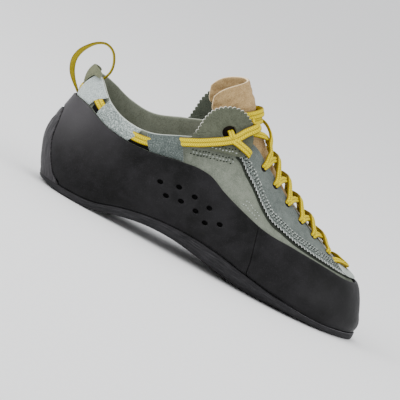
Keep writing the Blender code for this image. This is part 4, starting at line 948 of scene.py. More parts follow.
class Scatter:
    """Geometry nodes that lay one small bead, such as a stitch or a punched hole, at each point."""

    def __init__(self, name: str) -> None:
        """Build the node group once.

        Args:
            name: Name of the group.
        """
        self.group = bpy.data.node_groups.new(name, "GeometryNodeTree")
        face = self.group.interface
        face.new_socket("Geometry", in_out="INPUT", socket_type="NodeSocketGeometry")
        self.sockets = {}
        for label in ("Length", "Width", "Height"):
            self.sockets[label] = face.new_socket(label, in_out="INPUT",
                                                  socket_type="NodeSocketFloat").identifier
        self.sockets["Material"] = face.new_socket("Material", in_out="INPUT",
                                                   socket_type="NodeSocketMaterial").identifier
        face.new_socket("Geometry", in_out="OUTPUT", socket_type="NodeSocketGeometry")
        tree = self.group
        given = add_node(tree, "NodeGroupInput")
        bead = add_node(tree, "GeometryNodeMeshUVSphere", {"Segments": 8, "Rings": 5, "Radius": 0.5})
        along = add_node(tree, "GeometryNodeInputNamedAttribute", {"Name": "along"},
                         data_type="FLOAT_VECTOR").outputs[0]
        out = add_node(tree, "GeometryNodeInputNamedAttribute", {"Name": "out"},
                       data_type="FLOAT_VECTOR").outputs[0]
        lie = add_node(tree, "FunctionNodeAlignRotationToVector", {"Vector": along}, axis="X")
        stand = add_node(tree, "FunctionNodeAlignRotationToVector",
                         {"Rotation": lie.outputs[0], "Vector": out}, axis="Z", pivot_axis="X")
        scale = add_node(tree, "ShaderNodeCombineXYZ", {0: given.outputs["Length"],
                                                        1: given.outputs["Width"],
                                                        2: given.outputs["Height"]})
        lay = add_node(tree, "GeometryNodeInstanceOnPoints",
                       {"Points": given.outputs["Geometry"], "Instance": bead.outputs["Mesh"],
                        "Rotation": stand.outputs[0], "Scale": scale.outputs[0]})
        real = add_node(tree, "GeometryNodeRealizeInstances", {0: lay.outputs[0]})
        coat = add_node(tree, "GeometryNodeSetMaterial", {"Geometry": real.outputs[0],
                                                          "Material": given.outputs["Material"]})
        add_node(tree, "NodeGroupOutput", {0: coat.outputs[0]})

    def lay(self, name: str, points: Array, along: Array, out: Array, size: tuple[float, float, float],
            finish: Finish) -> Piece:
        """Lay the beads.

        Args:
            name: Name of the piece.
            points: Places in millimetres.
            along: Direction of each bead's length.
            out: Direction away from the surface at each bead.
            size: Length, width and height in millimetres.
            finish: Its finish.

        Returns:
            The beads as one mesh object.
        """
        mesh = bpy.data.meshes.new(name)
        mesh.from_pydata([tuple(p) for p in world(points)], [], [])
        for label, values in (("along", along), ("out", out)):
            mesh.attributes.new(label, "FLOAT_VECTOR", "POINT").data.foreach_set(
                "vector", np.asarray(values, dtype=np.float32).ravel())
        piece = add_object(name, mesh)
        modifier = piece.modifiers.new("beads", "NODES")
        modifier.node_group = self.group
        for label, value in zip(("Length", "Width", "Height"), size):
            modifier[self.sockets[label]] = value * MM
        modifier[self.sockets["Material"]] = finish.get()
        apply_modifiers(piece)
        piece.data.shade_smooth()
        return piece


@dataclass
class Seams:
    """Rows of stitches and punched holes on the skin."""

    scatter: Scatter
    uneven: float = 0.3

    def row(self, name: str, u: Array, v: Array, lift: float, pitch: float,
            size: tuple[float, float, float], finish: Finish, turn_deg: float = 0.0,
            start: float = 1.0) -> Piece:
        """Lay a row of beads along a line on the skin.

        Args:
            name: Name of the piece.
            u: Turns of the line.
            v: Height shares of the line.
            lift: Distance off the skin in millimetres.
            pitch: Spacing in millimetres.
            size: Length, width and height of a bead in millimetres.
            finish: Its finish.
            turn_deg: Angle of each bead to the line.
            start: Distance of the first bead from the line's start in millimetres.

        Returns:
            The row's object, dressed.
        """
        line = reach_along(LAST.skin(u, v))
        at = np.arange(start, line[-1], pitch)
        uneven = np.random.default_rng(len(name) + len(at)).uniform(-0.5, 0.5, (2, len(at)))
        at = np.clip(at + self.uneven * pitch * uneven[0], 0.0, line[-1])
        uu, vv = np.interp(at, line, u), np.interp(at, line, v) + self.uneven * 0.08 * uneven[1]
        points, out = LAST.off(uu, vv, np.full_like(uu, lift)), LAST.outward(uu, vv)
        along = np.gradient(points, axis=0)
        along /= np.linalg.norm(along, axis=1, keepdims=True)
        side = np.cross(out, along)
        angle = math.radians(turn_deg)
        made = self.scatter.lay(name, points, along * math.cos(angle) + side * math.sin(angle), out, size,
                                finish)
        return dress(made, finish)

    def spot(self, name: str, u: Array, v: Array, lift: float, size: tuple[float, float, float],
             finish: Finish) -> Piece:
        """Lay one bead lengthwise at a place on the skin.

        Args:
            name: Name of the piece.
            u: Turn of the place, an array of one.
            v: Its height share.
            lift: Distance off the skin in millimetres.
            size: Length, width and height of the bead in millimetres.
            finish: Its finish.

        Returns:
            The bead's object, dressed.
        """
        along = LAST.skin(u + 0.01, v) - LAST.skin(u - 0.01, v)
        return dress(self.scatter.lay(name, LAST.off(u, v, np.full(1, lift)), along, LAST.outward(u, v), size,
                                      finish), finish)


@dataclass
class UpperShell:
    """The suede shell, with its lining and rolled collar edge."""

    wall: float = 2.0
    columns: int = 520
    rows: int = 56
    # x, lean, depth and width of each crease
    creases: tuple = ((150.0, 0.35, 0.35, 4.0), (161.0, 0.3, 0.3, 3.5), (118.0, -0.2, 0.3, 5.0),
                      (97.0, 0.1, 0.22, 5.0))

    def relief(self, skin: Array, u: Array, v: Array) -> Array:
        """Soft creases where the forefoot bends and under the ankle."""
        x, z = skin[..., 0], skin[..., 2]
        folds = np.zeros(x.shape)
        for start, lean, depth, width in self.creases:
            folds -= depth * bump_at(x + (z - 50.0) * lean, start, width)
        return folds * np.clip((v - 1.6) / 0.6, 0.0, 1.0) * np.clip((3.0 - v) / 0.15, 0.0, 1.0)

    def build(self) -> None:
        """Build and dress the shell."""
        turns = closed_turns(self.columns)
        panel = Panel("upper_shell", turns, np.zeros_like(turns), np.full_like(turns, 3.0), -self.wall, 0.0,
                      rows=self.rows, radius=0.9, closed=True, relief=self.relief)
        # the shell's face below the rand is black: cement, and painted shade where the vents show it
        piece = panel.mesh([QUARTER, LINING, CEMENT_AND_PAINTED_SHADE], inner_slot=1,
                           outer_slot=lambda u, v: np.where(v < LINES.rand_top_v(u) - 0.1, 2, 0))
        dress(piece, QUARTER, "upper")


@dataclass
class Rands:
    """Rubber bands round the heel and toe, with the punched vents."""

    gap: float = 0.58
    thickness: float = 2.0
    seam_x: float = 155.0
    seam_gap: float = 0.00022
    wrap_seam: float = 0.02
    # height, lean, x and width of the pull marks on both sides of the seam
    pulls: tuple = ((0.4, 0.25, 149.0, 3.0), (-0.3, 0.0, 160.0, 3.5))
    wrap_dip: float = 0.7
    vent: tuple = (4.2, 3.0)
    vent_dip: float = 0.3
    vents: tuple = ((80.6, 39.0), (93.0, 41.8), (104.9, 41.0), (116.5, 39.3), (127.3, 33.3),
                    (88.0, 32.9), (98.2, 34.5), (109.5, 33.5), (118.2, 29.7))

    def relief(self, skin: Array, u: Array, v: Array) -> Array:
        """Lengthwise swell, the pull marks by the seam and dimples round the vents."""
        x, y, z = skin[..., 0], skin[..., 1], skin[..., 2]
        lift = 0.25 * np.sin(x / 23.0 + z / 9.0) * np.clip(v / 0.4, 0.0, 1.0)
        for height, lean, start, width in self.pulls:
            lift += height * bump_at(x + (z - 30.0) * lean, start, width)
        ridge = 13.5 + 0.17 * np.maximum(0.0, 88.0 - np.abs(x - 88.0)) * 0.7
        waist = np.clip((x - 40.0) / 20.0, 0.0, 1.0) * np.clip((215.0 - x) / 30.0, 0.0, 1.0)
        lift += (0.55 * bump_at(z, ridge, 3.2) - 0.3 * bump_at(z, ridge - 6.5, 2.4)) * waist
        lift += Outsole.toe_spread * np.clip((x - 205.0) / 34.0, 0.0, 1.0) ** 2 * np.clip(
            (16.0 - z) / 10.0, 0.0, 1.0)
        for vx, vz in self.vents:
            near = np.hypot((x - vx) / self.vent[0], (z - vz) / self.vent[1])
            lift -= self.vent_dip * np.exp(-(near / 0.66) ** 4)
        wrap = LINES.heel_wrap_v(u[:, 0])[:, None]
        lift -= self.wrap_dip * np.exp(-((v - wrap) / 0.035) ** 2) * (wrap > 0.0)
        return lift * np.clip((LINES.rand_top_v(u[:, 0])[:, None] - v) / 0.2, 0.0, 1.0)

    def cut_vents(self, rand: Piece) -> None:
        """Punch the vents through the rear rand on both sides."""
        shape = bmesh.new()
        for sign in (-1.0, 1.0):
            for x, z in self.vents:
                place = Matrix.Translation(Vector(world((x, sign * 39.0, z)))) @ Matrix.Rotation(
                    math.pi / 2.0, 4, "X") @ Matrix.Diagonal((self.vent[0] * MM / 2.0,
                                                              self.vent[1] * MM / 2.0, 1.0, 1.0))
                bmesh.ops.create_cone(shape, cap_ends=True, segments=24, radius1=1.0, radius2=1.0,
                                      depth=42.0 * MM, matrix=place)
        mesh = bpy.data.meshes.new("vent_punches")
        shape.to_mesh(mesh)
        shape.free()
        punch = add_object("vent_punches", mesh)
        modifier = rand.modifiers.new("vents", "BOOLEAN")
        modifier.operation, modifier.solver, modifier.object = "DIFFERENCE", "EXACT", punch
        apply_modifiers(rand)
        bpy.data.objects.remove(punch, do_unlink=True)

    def build(self) -> None:
        """Build and dress both rands."""
        seam = float(LAST.u_at(self.seam_x, 1.2, Side.LATERAL)[0])
        for name, start, end in (("rand_rear", -seam + self.seam_gap, seam - self.seam_gap),
                                 ("rand_toe", seam + self.seam_gap, 2.0 - seam - self.seam_gap)):
            turns = even_turns(start, end, 1.0, 1.0, 0.35)
            wrap = LINES.heel_wrap_v(turns)
            v_low = wrap + np.where(wrap > 0.0, self.wrap_seam, 0.0) * LINES.wrap_steepness(turns)
            panel = Panel(name + "_rubber", turns, v_low, LINES.rand_top_v(turns), self.gap,
                          self.gap + self.thickness, rows=34, radius=0.9, end_radius=0.35,
                          foot_radius=0.45, foot_drop=0.2, relief=self.relief)
            piece = panel.mesh([RAND])
            if name == "rand_rear":
                self.cut_vents(piece)
            dress(piece, RAND, name)


@dataclass
class Outsole:
    """Sole plate with its ground edge, and the rubber that wraps up the heel."""

    overhang: float = 2.75
    heel_inset: float = 0.35
    bulge: float = 0.45
    tuck: float = 0.8
    toe_spread: float = 1.9
    gap: float = 0.45
    flat_share: float = 0.72
    columns: int = 440
    wrap_thickness: float = 2.7
    under_shares: tuple = (0.12, 0.35, 0.6, 0.72, 0.82, 0.9, 0.96)
    # rings of the edge from its foot to its top: share of the tuck, of the bulge and of the height
    edge_rings: tuple = (
        (1.0, 0.0, 0.0), (0.45, 0.1, 0.04), (0.1, 0.35, 0.12), (0.0, 0.75, 0.25), (0.0, 1.0, 0.42),
        (0.0, 0.8, 0.62), (0.0, 0.35, 0.82), (0.0, 0.1, 0.94), (0.12, 0.0, 0.99), (0.5, 0.0, 1.0),
        (2.0, 0.0, 1.0))
    top_shares: tuple = (0.8, 0.3)
    # ring of the edge that carries a painted highlight at the toe
    highlight_ring: int = 8

    def underside(self, x: Array, lateral: Array, share: float) -> Array:
        """Height of the underside at a share of the way out from the middle."""
        middle = table(LINES.underside, 2, x)
        outer = np.where(lateral, table(LINES.underside, 1, x), table(LINES.underside, 3, x))
        lift = max(0.0, (share - self.flat_share) / (1.0 - self.flat_share)) ** 2
        return np.maximum(middle + (outer - middle) * lift, 0.0)

    def plate(self) -> Piece:
        """Build the plate from rings, from the middle of its underside round its edge to its top."""
        turns = closed_turns(self.columns)
        count = len(turns)
        lateral = turns <= 1.0
        foot, out = LAST.skin(turns, 0.0), LAST.outward(turns, np.zeros_like(turns))
        top = foot[:, 2] - self.gap
        twin = (-np.arange(count)) % count
        under = self.underside(foot[:, 0], lateral, 1.0)
        near_heel = np.abs(np.mod(turns + 1.0, 2.0) - 1.0)
        heel = np.clip((0.19 - near_heel) / 0.06, 0.0, 1.0)[:, None]
        toe = (np.clip((foot[:, 0] - 205.0) / 34.0, 0.0, 1.0) ** 2)[:, None]
        low = foot + out * (self.overhang - self.tuck * (1.0 - 0.7 * toe) - self.heel_inset * heel
                            + (self.toe_spread + 0.6) * toe)
        centre = (low + low[twin]) / 2.0
        rings = []
        for share in self.under_shares:
            ring = centre + (low - centre) * share
            ring[:, 2] = self.underside(foot[:, 0], lateral, share)
            rings.append(ring)
        thick = top - under
        for tuck, bulge, share in self.edge_rings:
            distance = self.overhang - self.tuck * tuck * (1.0 - 0.7 * toe) + self.bulge * bulge
            distance = distance + toe * (self.toe_spread + 0.6 - 0.7 * self.bulge * bulge)
            ring = foot + out * (distance - (self.heel_inset + self.bulge * bulge) * heel)
            ring[:, 2] = under + thick * share
            rings.append(ring)
        middle_top = (top + top[twin]) / 2.0
        for share in self.top_shares:
            ring = centre + (low - centre) * share
            ring[:, 2] = middle_top + (top - middle_top) * share
            rings.append(ring)
        line = reach_along(foot)
        uv = np.concatenate([np.stack([line, np.full(count, 3.0 * k)], axis=1) for k in range(len(rings))])
        rims = np.zeros((len(rings), count))
        # painted highlight along the sole's top edge towards the toe
        rims[len(self.under_shares) + self.highlight_ring] = 0.6 * np.clip((foot[:, 0] - 175.0) / 30.0, 0.0, 1.0)
        return make_object("sole_plate", np.concatenate(rings), ring_faces(count, len(rings)), uv,
                           rims.ravel(), [SOLE_EDGE])

    def wrap_relief(self, skin: Array, u: Array, v: Array) -> Array:
        """Swell at the foot of the wrap, and the step across it near its top."""
        z = skin[..., 2]
        return 0.35 * bump_at(z, 11.0, 7.0) - 0.35 * bump_at(z, 41.5, 1.6)

    def build(self) -> None:
        """Build and dress the sole and its heel wrap."""
        dress(self.plate(), SOLE_EDGE, "outsole")
        turns = even_turns(-0.144, 0.144, 0.8, 1.0, 0.35)
        v_high = np.maximum(LINES.heel_wrap_v(turns) - 0.012 * LINES.wrap_steepness(turns), 0.02)
        panel = Panel("heel_wrap_rubber", turns, np.zeros_like(turns), v_high, 0.45, self.wrap_thickness,
                      rows=34, radius=0.6, end_radius=0.35, foot_radius=0.05, foot_drop=0.7,
                      relief=self.wrap_relief)
        dress(panel.mesh([HEEL_RUBBER]), HEEL_RUBBER, "outsole")


@dataclass
class Insole:
    """Felted board that closes the shell's foot."""

    inset: float = 2.5
    lift: float = 0.35
    thickness: float = 1.6
    columns: int = 200
    # rings from the middle of the underside to that of the top: share of the way out and of the thickness
    rings: tuple = ((0.15, 0.0), (0.6, 0.0), (1.0, 0.0), (1.0, 1.0), (0.96, 1.0), (0.8, 0.9), (0.55, 0.8),
                    (0.3, 0.76), (0.12, 0.76))

    def build(self) -> None:
        """Build and dress the board, slightly dished where the foot presses it."""
        turns = closed_turns(self.columns)
        count = len(turns)
        rim = LAST.off(turns, np.full_like(turns, 0.03), np.full_like(turns, -self.inset))
        floor = LAST.skin(turns, 0.0)[:, 2]
        twin = (-np.arange(count)) % count
        middle, centre = (floor + floor[twin]) / 2.0, (rim + rim[twin]) / 2.0
        rings = []
        for share, rise in self.rings:
            ring = centre + (rim - centre) * share
            ring[:, 2] = middle + (floor - middle) * share + self.lift + self.thickness * rise
            rings.append(ring)
        vertices = np.concatenate(rings)
        piece = make_object("insole_board", vertices, ring_faces(count, len(rings)), vertices[:, :2],
                            np.zeros(len(vertices)), [BOARD])
        dress(piece, BOARD, "insole")


@dataclass
class Facing:
    """Suede facing round the throat, with its pinked edge and double row of punched holes."""

    gap: float = 0.55
    thickness: float = 1.5
    turn: float = 0.505
    pitch: float = 2.6
    depth: float = 1.3
    end_reach: float = 0.135
    # rows of dots, as their distance in from the pinked edge, and their pitch
    dot_rows: tuple = (2.6, 4.2, 5.8)
    dot_pitch: float = 2.2
    # x and z of both ends of the short dotted lines on the quarter
    quarter_dots: tuple = (((136.0, 150.0), (54.5, 48.8)), ((134.0, 148.0), (52.3, 47.0)))
    # turn and height share of the hole in the end piece
    toe_hole: tuple = ((0.95,), (2.7,))

    def relief(self, skin: Array, u: Array, v: Array) -> Array:
        """The facing lifts a little along its cut edge, and dips where each lace pulls on it."""
        x = skin[..., 0]
        low = LINES.facing_low_v(u[:, 0])[:, None]
        lift = 0.35 * np.exp(-((v - low) / 0.12) ** 2)
        for at in Lacing.holes:
            lift -= 0.35 * bump_at(x, at, 3.2) * np.clip((v - 2.72) / 0.28, 0.0, 1.0)
        return lift

    def build(self, seams: Seams) -> None:
        """Build and dress the facing, its seams and the painted shadow under its edge."""
        start, end = self.turn, 2.0 - self.turn
        samples = np.linspace(start, end, 800)
        line = reach_along(LAST.skin(samples, LINES.facing_low_v(samples)))
        teeth = int(line[-1] / self.pitch)
        count = teeth * 8
        turns = np.interp(np.linspace(0.0, line[-1], count + 1), line, samples)
        low = LINES.facing_low_v(turns)
        tall = np.linalg.norm(LAST.skin(turns, np.full_like(turns, 3.0)) - LAST.skin(turns, low), axis=1)
        phase = np.arange(count + 1) / 8.0 * 2.0 * math.pi
        tooth = self.depth * (0.5 - 0.5 * np.cos(phase)) ** 0.8
        v_low = low + (3.0 - low) * tooth / np.maximum(tall, 4.0)
        panel = Panel("facing_suede", turns, v_low, np.full_like(turns, 2.99), self.gap,
                      self.gap + self.thickness, rows=22, radius=0.7, relief=self.relief)
        dress(panel.mesh([FACING]), FACING, "facing")
        lift = self.gap + self.thickness + 0.2
        aside = np.abs(turns - 1.0) > self.end_reach + 0.005
        for number, sign in enumerate((1.0, -1.0)):
            part = aside & ((turns - 1.0) * sign > 0.0)
            for row, inset in enumerate(self.dot_rows):
                v = (low + (3.0 - low) * inset / np.maximum(tall, 8.0))[part]
                name = "facing_%%s_%d_%d" % (number, row)
                first = 1.2 * (row % 2) + 0.6
                for kind, rise, up, size, finish in (("rims", 0.012, -0.12, (1.3, 1.0, 0.4), THREAD),
                                                     ("holes", -0.012, 0.02, (1.1, 1.0, 0.3), DARK_HOLE)):
                    seams.row(name % kind, turns[part], v + rise, lift + up, self.dot_pitch, size, finish,
                              start=first)
        for number, (x, z) in enumerate(self.quarter_dots):
            u, v = LAST.locate(np.linspace(*x, 24), np.linspace(*z, 24), Side.LATERAL)
            seams.row("quarter_dots_%d" % number, u, v, 0.1, 2.1, (0.9, 0.8, 0.4), THREAD, start=0.5 + number)
        # painted shadow: a dark band on the quarter just under the facing's edge, fading out towards the toe
        show = 0.045 * np.clip((np.abs(turns - 1.0) - 0.1) / 0.12, 0.0, 1.0)
        groove = Panel("facing_shadow_seam", turns, low + 0.01 - show, low + 0.05, 0.02, 0.25, rows=6,
                       radius=0.2, foot_radius=0.2)
        dress(groove.mesh([SEAM_PAINTED_SHADOW]), SEAM_PAINTED_SHADOW)
        self.build_end(seams)

    def build_end(self, seams: Seams) -> None:
        """Build the smooth end piece in front of the throat, with the hole that takes the lace's end."""
        turns = even_turns(1.0 - self.end_reach, 1.0 + self.end_reach, 0.8, 2.6, 0.5)
        low = LINES.facing_low_v(turns)
        ends = np.clip((np.abs(turns - 1.0) / self.end_reach - 0.75) / 0.25, 0.0, 1.0) ** 2
        outer = self.gap + self.thickness
        panel = Panel("facing_end_leather", turns, low - 0.05 + 0.12 * ends, 2.93 - 0.1 * ends,
                      outer - 0.3, outer + 0.85, rows=16, radius=0.5)
        dress(panel.mesh([END_LEATHER]), END_LEATHER)
        seams.spot("toe_hole", *np.array(self.toe_hole), outer + 0.8, (4.4, 3.6, 0.5), DARK_HOLE)


@dataclass
class Ears:
    """Leather flaps at the ankle, scalloped round their top, each with a large lace hole."""

    plain: tuple = ((121.6, 89.2), (123.0, 84.0), (119.5, 75.6), (98.0, 70.6), (88.5, 68.0))
    pinked: tuple = ((86.0, 72.0), (86.9, 81.0), (87.8, 90.0), (90.0, 95.6), (93.2, 99.2), (97.5, 101.8),
                     (102.3, 103.0), (107.0, 102.4), (111.0, 100.4), (115.5, 97.0), (119.5, 92.4))
    hole: tuple = (105.2, 87.1, 4.4)
    shift: tuple = (-3.0, 5.0)
    distance: float = 2.45
    thickness: float = 1.8
    pitch: float = 2.75
    depth: float = 1.15

    def outline(self) -> Array:
        """Points round the ear's edge in x and z, with its rounded scallops."""
        foot = np.array(self.plain)
        at = reach_along(foot)
        foot = np.stack([np.interp(np.linspace(0.0, at[-1], 60), at, foot[:, k]) for k in (0, 1)], axis=1)
        top = np.array(self.pinked)
        line = reach_along(top)
        teeth = round(line[-1] / self.pitch)
        along = np.linspace(0.0, line[-1], teeth * 10 + 1)
        here = cubic(line, top, along)
        tangent = np.gradient(here, axis=0)
        tangent /= np.linalg.norm(tangent, axis=1, keepdims=True)
        out = np.stack([-tangent[:, 1], tangent[:, 0]], axis=1)
        wave = np.abs(np.sin(np.arange(len(along)) / 10.0 * math.pi)) ** 0.7
        return np.concatenate([foot, here + out * (wave * self.depth)[:, None]])

    def shift_on(self, side: Side) -> Array:
        """How far the ear of a side stands from the table's place."""
        return np.array(self.shift if side is Side.MEDIAL else (0.0, 0.0))

    def build_side(self, side: Side) -> None:
        """Build and dress the ear of a side."""
        shift = self.shift_on(side)
        edge = self.outline() + shift
        centre = np.array(self.hole[:2]) + shift
        angle = np.unwrap(np.arctan2(edge[:, 1] - centre[1], edge[:, 0] - centre[0]))
        ring = centre + self.hole[2] * np.stack([np.cos(angle), np.sin(angle)], axis=1)
        reach = np.linalg.norm(edge - ring, axis=1)
        shares = edge_shares(reach, 0.8, 16)
        flat = edge[:, None, :] + (ring - edge)[:, None, :] * shares[..., None]
        n, m = shares.shape
        u, v = LAST.locate(flat[..., 0].ravel(), flat[..., 1].ravel(), side)
        skin, normal = LAST.skin(u, v).reshape(n, m, 3), LAST.outward(u, v).reshape(n, m, 3)
        from_edge = np.minimum(shares, 1.0 - shares) * reach[:, None]
        left = rounding(from_edge, 0.8)
        flare = 1.1 * np.clip((flat[..., 1] - shift[1] - 84.0) / 19.0, 0.0, 1.0) ** 2
        flare += 0.5 * bump_at(flat[..., 0] - shift[0], 96.0, 5.0) * np.clip(
            (flat[..., 1] - shift[1] - 78.0) / 12.0, 0.0, 1.0)
        middle, half = self.distance + self.thickness / 2.0, self.thickness / 2.0
        outer = skin + normal * (middle + half * left + flare)[..., None]
        inner = skin + normal * (middle - half * left + flare)[..., None]
        near_hole = np.clip((shares - 0.8) * 10.0, 0.0, 1.0)
        pinked = np.clip((flat[..., 1] - shift[1] - 74.0) / 5.0, 0.0, 1.0) * np.clip(
            (122.0 - flat[..., 0] + shift[0]) / 2.0, 0.0, 1.0)
        name = "ear_" + side.name.lower()
        piece = make_slab(name + "_leather", outer, inner, flat, (1.0 - left) * (1.0 - near_hole) * pinked,
                          [EAR, EAR_BACK], True, (0, 1, 0, 1))
        dress(piece, EAR, name)

    def stitch(self, side: Side, seams: Seams) -> None:
        """Lay the stitches along the ear's foot, the punched dots below it and a dark patch of painted shade
        behind the hole.
        """
        shift = self.shift_on(side)
        for number, (rise, lift, finish) in enumerate((
                (2.2, 4.3, THREAD), (3.9, 4.3, DARK_HOLE), (-1.3, 0.15, DARK_HOLE), (-2.9, 0.15, THREAD),
                (-4.3, 0.1, DARK_HOLE))):
            foot = np.array(self.plain[2:])[::-1] + shift + (0.0, rise)
            x = np.linspace(foot[0, 0] + 1.0, foot[-1, 0] - 2.0, 40)
            u, v = LAST.locate(x, np.interp(x, foot[:, 0], foot[:, 1]), side)
            seams.row("ear_stitches_%s_%d" % (side.name.lower(), number), u, v, lift, 2.2, (1.3, 0.8, 0.4),
                      finish, 25.0, start=0.6 + 1.1 * (number % 2))
        place = np.array(self.hole[:2]) + shift
        u, v = LAST.locate(place[:1], place[1:], side)
        seams.spot("ear_hole_back_" + side.name.lower(), u, v, self.distance - 0.6, (10.5, 10.5, 0.9),
                   HOLE_PAINTED_SHADE)

    def build(self, seams: Seams) -> None:
        """Build both ears."""
        for side in Side:
            self.build_side(side)
            self.stitch(side, seams)


@dataclass
class CollarTunnels:
    """Pebbled suede strips that hold the collar lace, arched so that the lace passes under them."""

    foot_v: float = 2.2
    top_v: float = 2.9
    strips: tuple = (("rear", 24.5, 27.6, 49.5, 54.6), ("front", 65.5, 58.8, 88.5, 80.5))
    heel_front: tuple = (18.0, 26.0)
    heel_back: tuple = (0.020, 0.074)
    swell: float = 1.9
    clearance: float = 0.02
    gap: float = 0.35
    thickness: float = 0.95
    columns: int = 56
    rows: int = 26

    def ends(self, side: Side) -> dict:
        """Turns of both ends of each strip, at its foot and at its top, unwound from the heel."""
        sign = 1.0 if side is Side.LATERAL else -1.0
        low = float(LAST.u_at(self.heel_front[0], self.foot_v, Side.LATERAL)[0])
        high = float(LAST.u_at(self.heel_front[1], self.top_v, Side.LATERAL)[0])
        made = {"heel": ((sign * self.heel_back[0], sign * low), (sign * self.heel_back[1], sign * high))}
        back = 0.0 if side is Side.LATERAL else -2.0
        for name, low_rear, high_rear, low_front, high_front in self.strips:
            foot = LAST.u_at(np.array([low_rear, low_front]), self.foot_v, side) + back
            top = LAST.u_at(np.array([high_rear, high_front]), self.top_v, side) + back
            made[name] = (tuple(foot), tuple(top))
        return made

    def strip(self, side: Side, name: str, ends: tuple) -> None:
        """Build and dress one strip."""
        share = edge_shares(16.0, 0.6, self.rows)[0]
        along = edge_shares(24.0, 0.5, self.columns)[0]
        start = ends[0][0] + (ends[1][0] - ends[0][0]) * share
        stop = ends[0][1] + (ends[1][1] - ends[0][1]) * share
        u = start[None, :] + (stop - start)[None, :] * along[:, None]
        v = np.zeros_like(u)
        for j in range(len(share)):
            low = LINES.rand_top_v(u[:, j]) + self.clearance
            v[:, j] = low + (2.995 - low) * share[j]
        arch = np.sin(math.pi * share) ** 0.8
        skin, normal = LAST.skin(u, v), LAST.outward(u, v)
        tall = np.linalg.norm(skin[:, -1] - skin[:, 0], axis=1)[:, None]
        wide = reach_along(skin[:, len(share) // 2])[:, None]
        left = rounding(np.minimum(share, 1.0 - share)[None, :] * tall, 0.6) * rounding(
            np.minimum(wide, wide[-1] - wide), 0.5)
        wobble = 0.16 * np.sin(wide / 3.1 + 3.0 * share[None, :]) + 0.12 * np.sin(wide / 1.7 - 4.0 * share)
        crown = self.swell * arch[None, :] * (1.0 + 0.1 * np.cos(wide / wide[-1] * 2.0 * math.pi)) + wobble
        half = self.thickness / 2.0
        middle = self.gap + half + crown
        outer = skin + normal * (middle + half * left)[..., None]
        inner = skin + normal * (middle - half * left)[..., None]
        uv = np.stack([np.repeat(wide, u.shape[1], axis=1), tall * share[None, :]], axis=2)
        node = "tunnel_%s_%s" % (name, side.name.lower())
        finish = {"heel": HEEL_STRIP_PAINTED_LIT, "rear": STRIP, "front": FRONT_STRIP_PAINTED_SHADE}[name]
        dress(make_slab(node + "_suede", outer, inner, uv, 1.0 - left, [finish]), finish, node)

    def build(self) -> None:
        """Build every strip on both sides."""
        for side in Side:
            for name, ends in self.ends(side).items():
                self.strip(side, name, ends)


@dataclass
class HeelTab:
    """Rounded leather tab at the back of the collar, between the heel strips."""

    reach: float = 0.112
    foot_z: float = 69.3
    shoulder_z: float = 79.0
    top_z: float = 83.4
    flank_z: float = 77.5
    flank_turns: tuple = (0.020, 0.074)
    gap: float = 0.4
    lean: float = 2.4
    belly: float = 0.9
    thickness: float = 1.5

    def relief(self, skin: Array, u: Array, v: Array) -> Array:
        """How far the tab leans out from the collar."""
        rise = (skin[..., 2] - self.foot_z) / (self.top_z - self.foot_z)
        rise = np.clip(rise, 0.0, 1.0)
        return self.lean * np.sqrt(rise) + self.belly * np.sin(math.pi * rise) - self.belly * rise ** 6

    def build(self) -> None:
        """Build and dress the tab."""
        turns = even_turns(-self.reach, self.reach, 0.9, 3.0, 0.6)
        round_top = np.maximum(1.0 - (turns / (self.reach * 1.01)) ** 2, 0.0) ** 0.28
        top = self.shoulder_z + (self.top_z - self.shoulder_z) * round_top
        flank = np.interp(np.abs(turns), self.flank_turns, (0.0, 1.0))
        foot = self.foot_z + (self.flank_z - self.foot_z) * flank
        v_high = LAST.v_at(turns, lambda x: top)
        v_low = LAST.v_at(turns, lambda x: foot)
        panel = Panel("heel_tab_leather", turns, v_low, v_high, self.gap, self.gap + self.thickness,
                      rows=26, radius=0.6, end_radius=0.4, relief=self.relief)
        dress(panel.mesh([TAB_LEATHER]), TAB_LEATHER, "heel_tab")


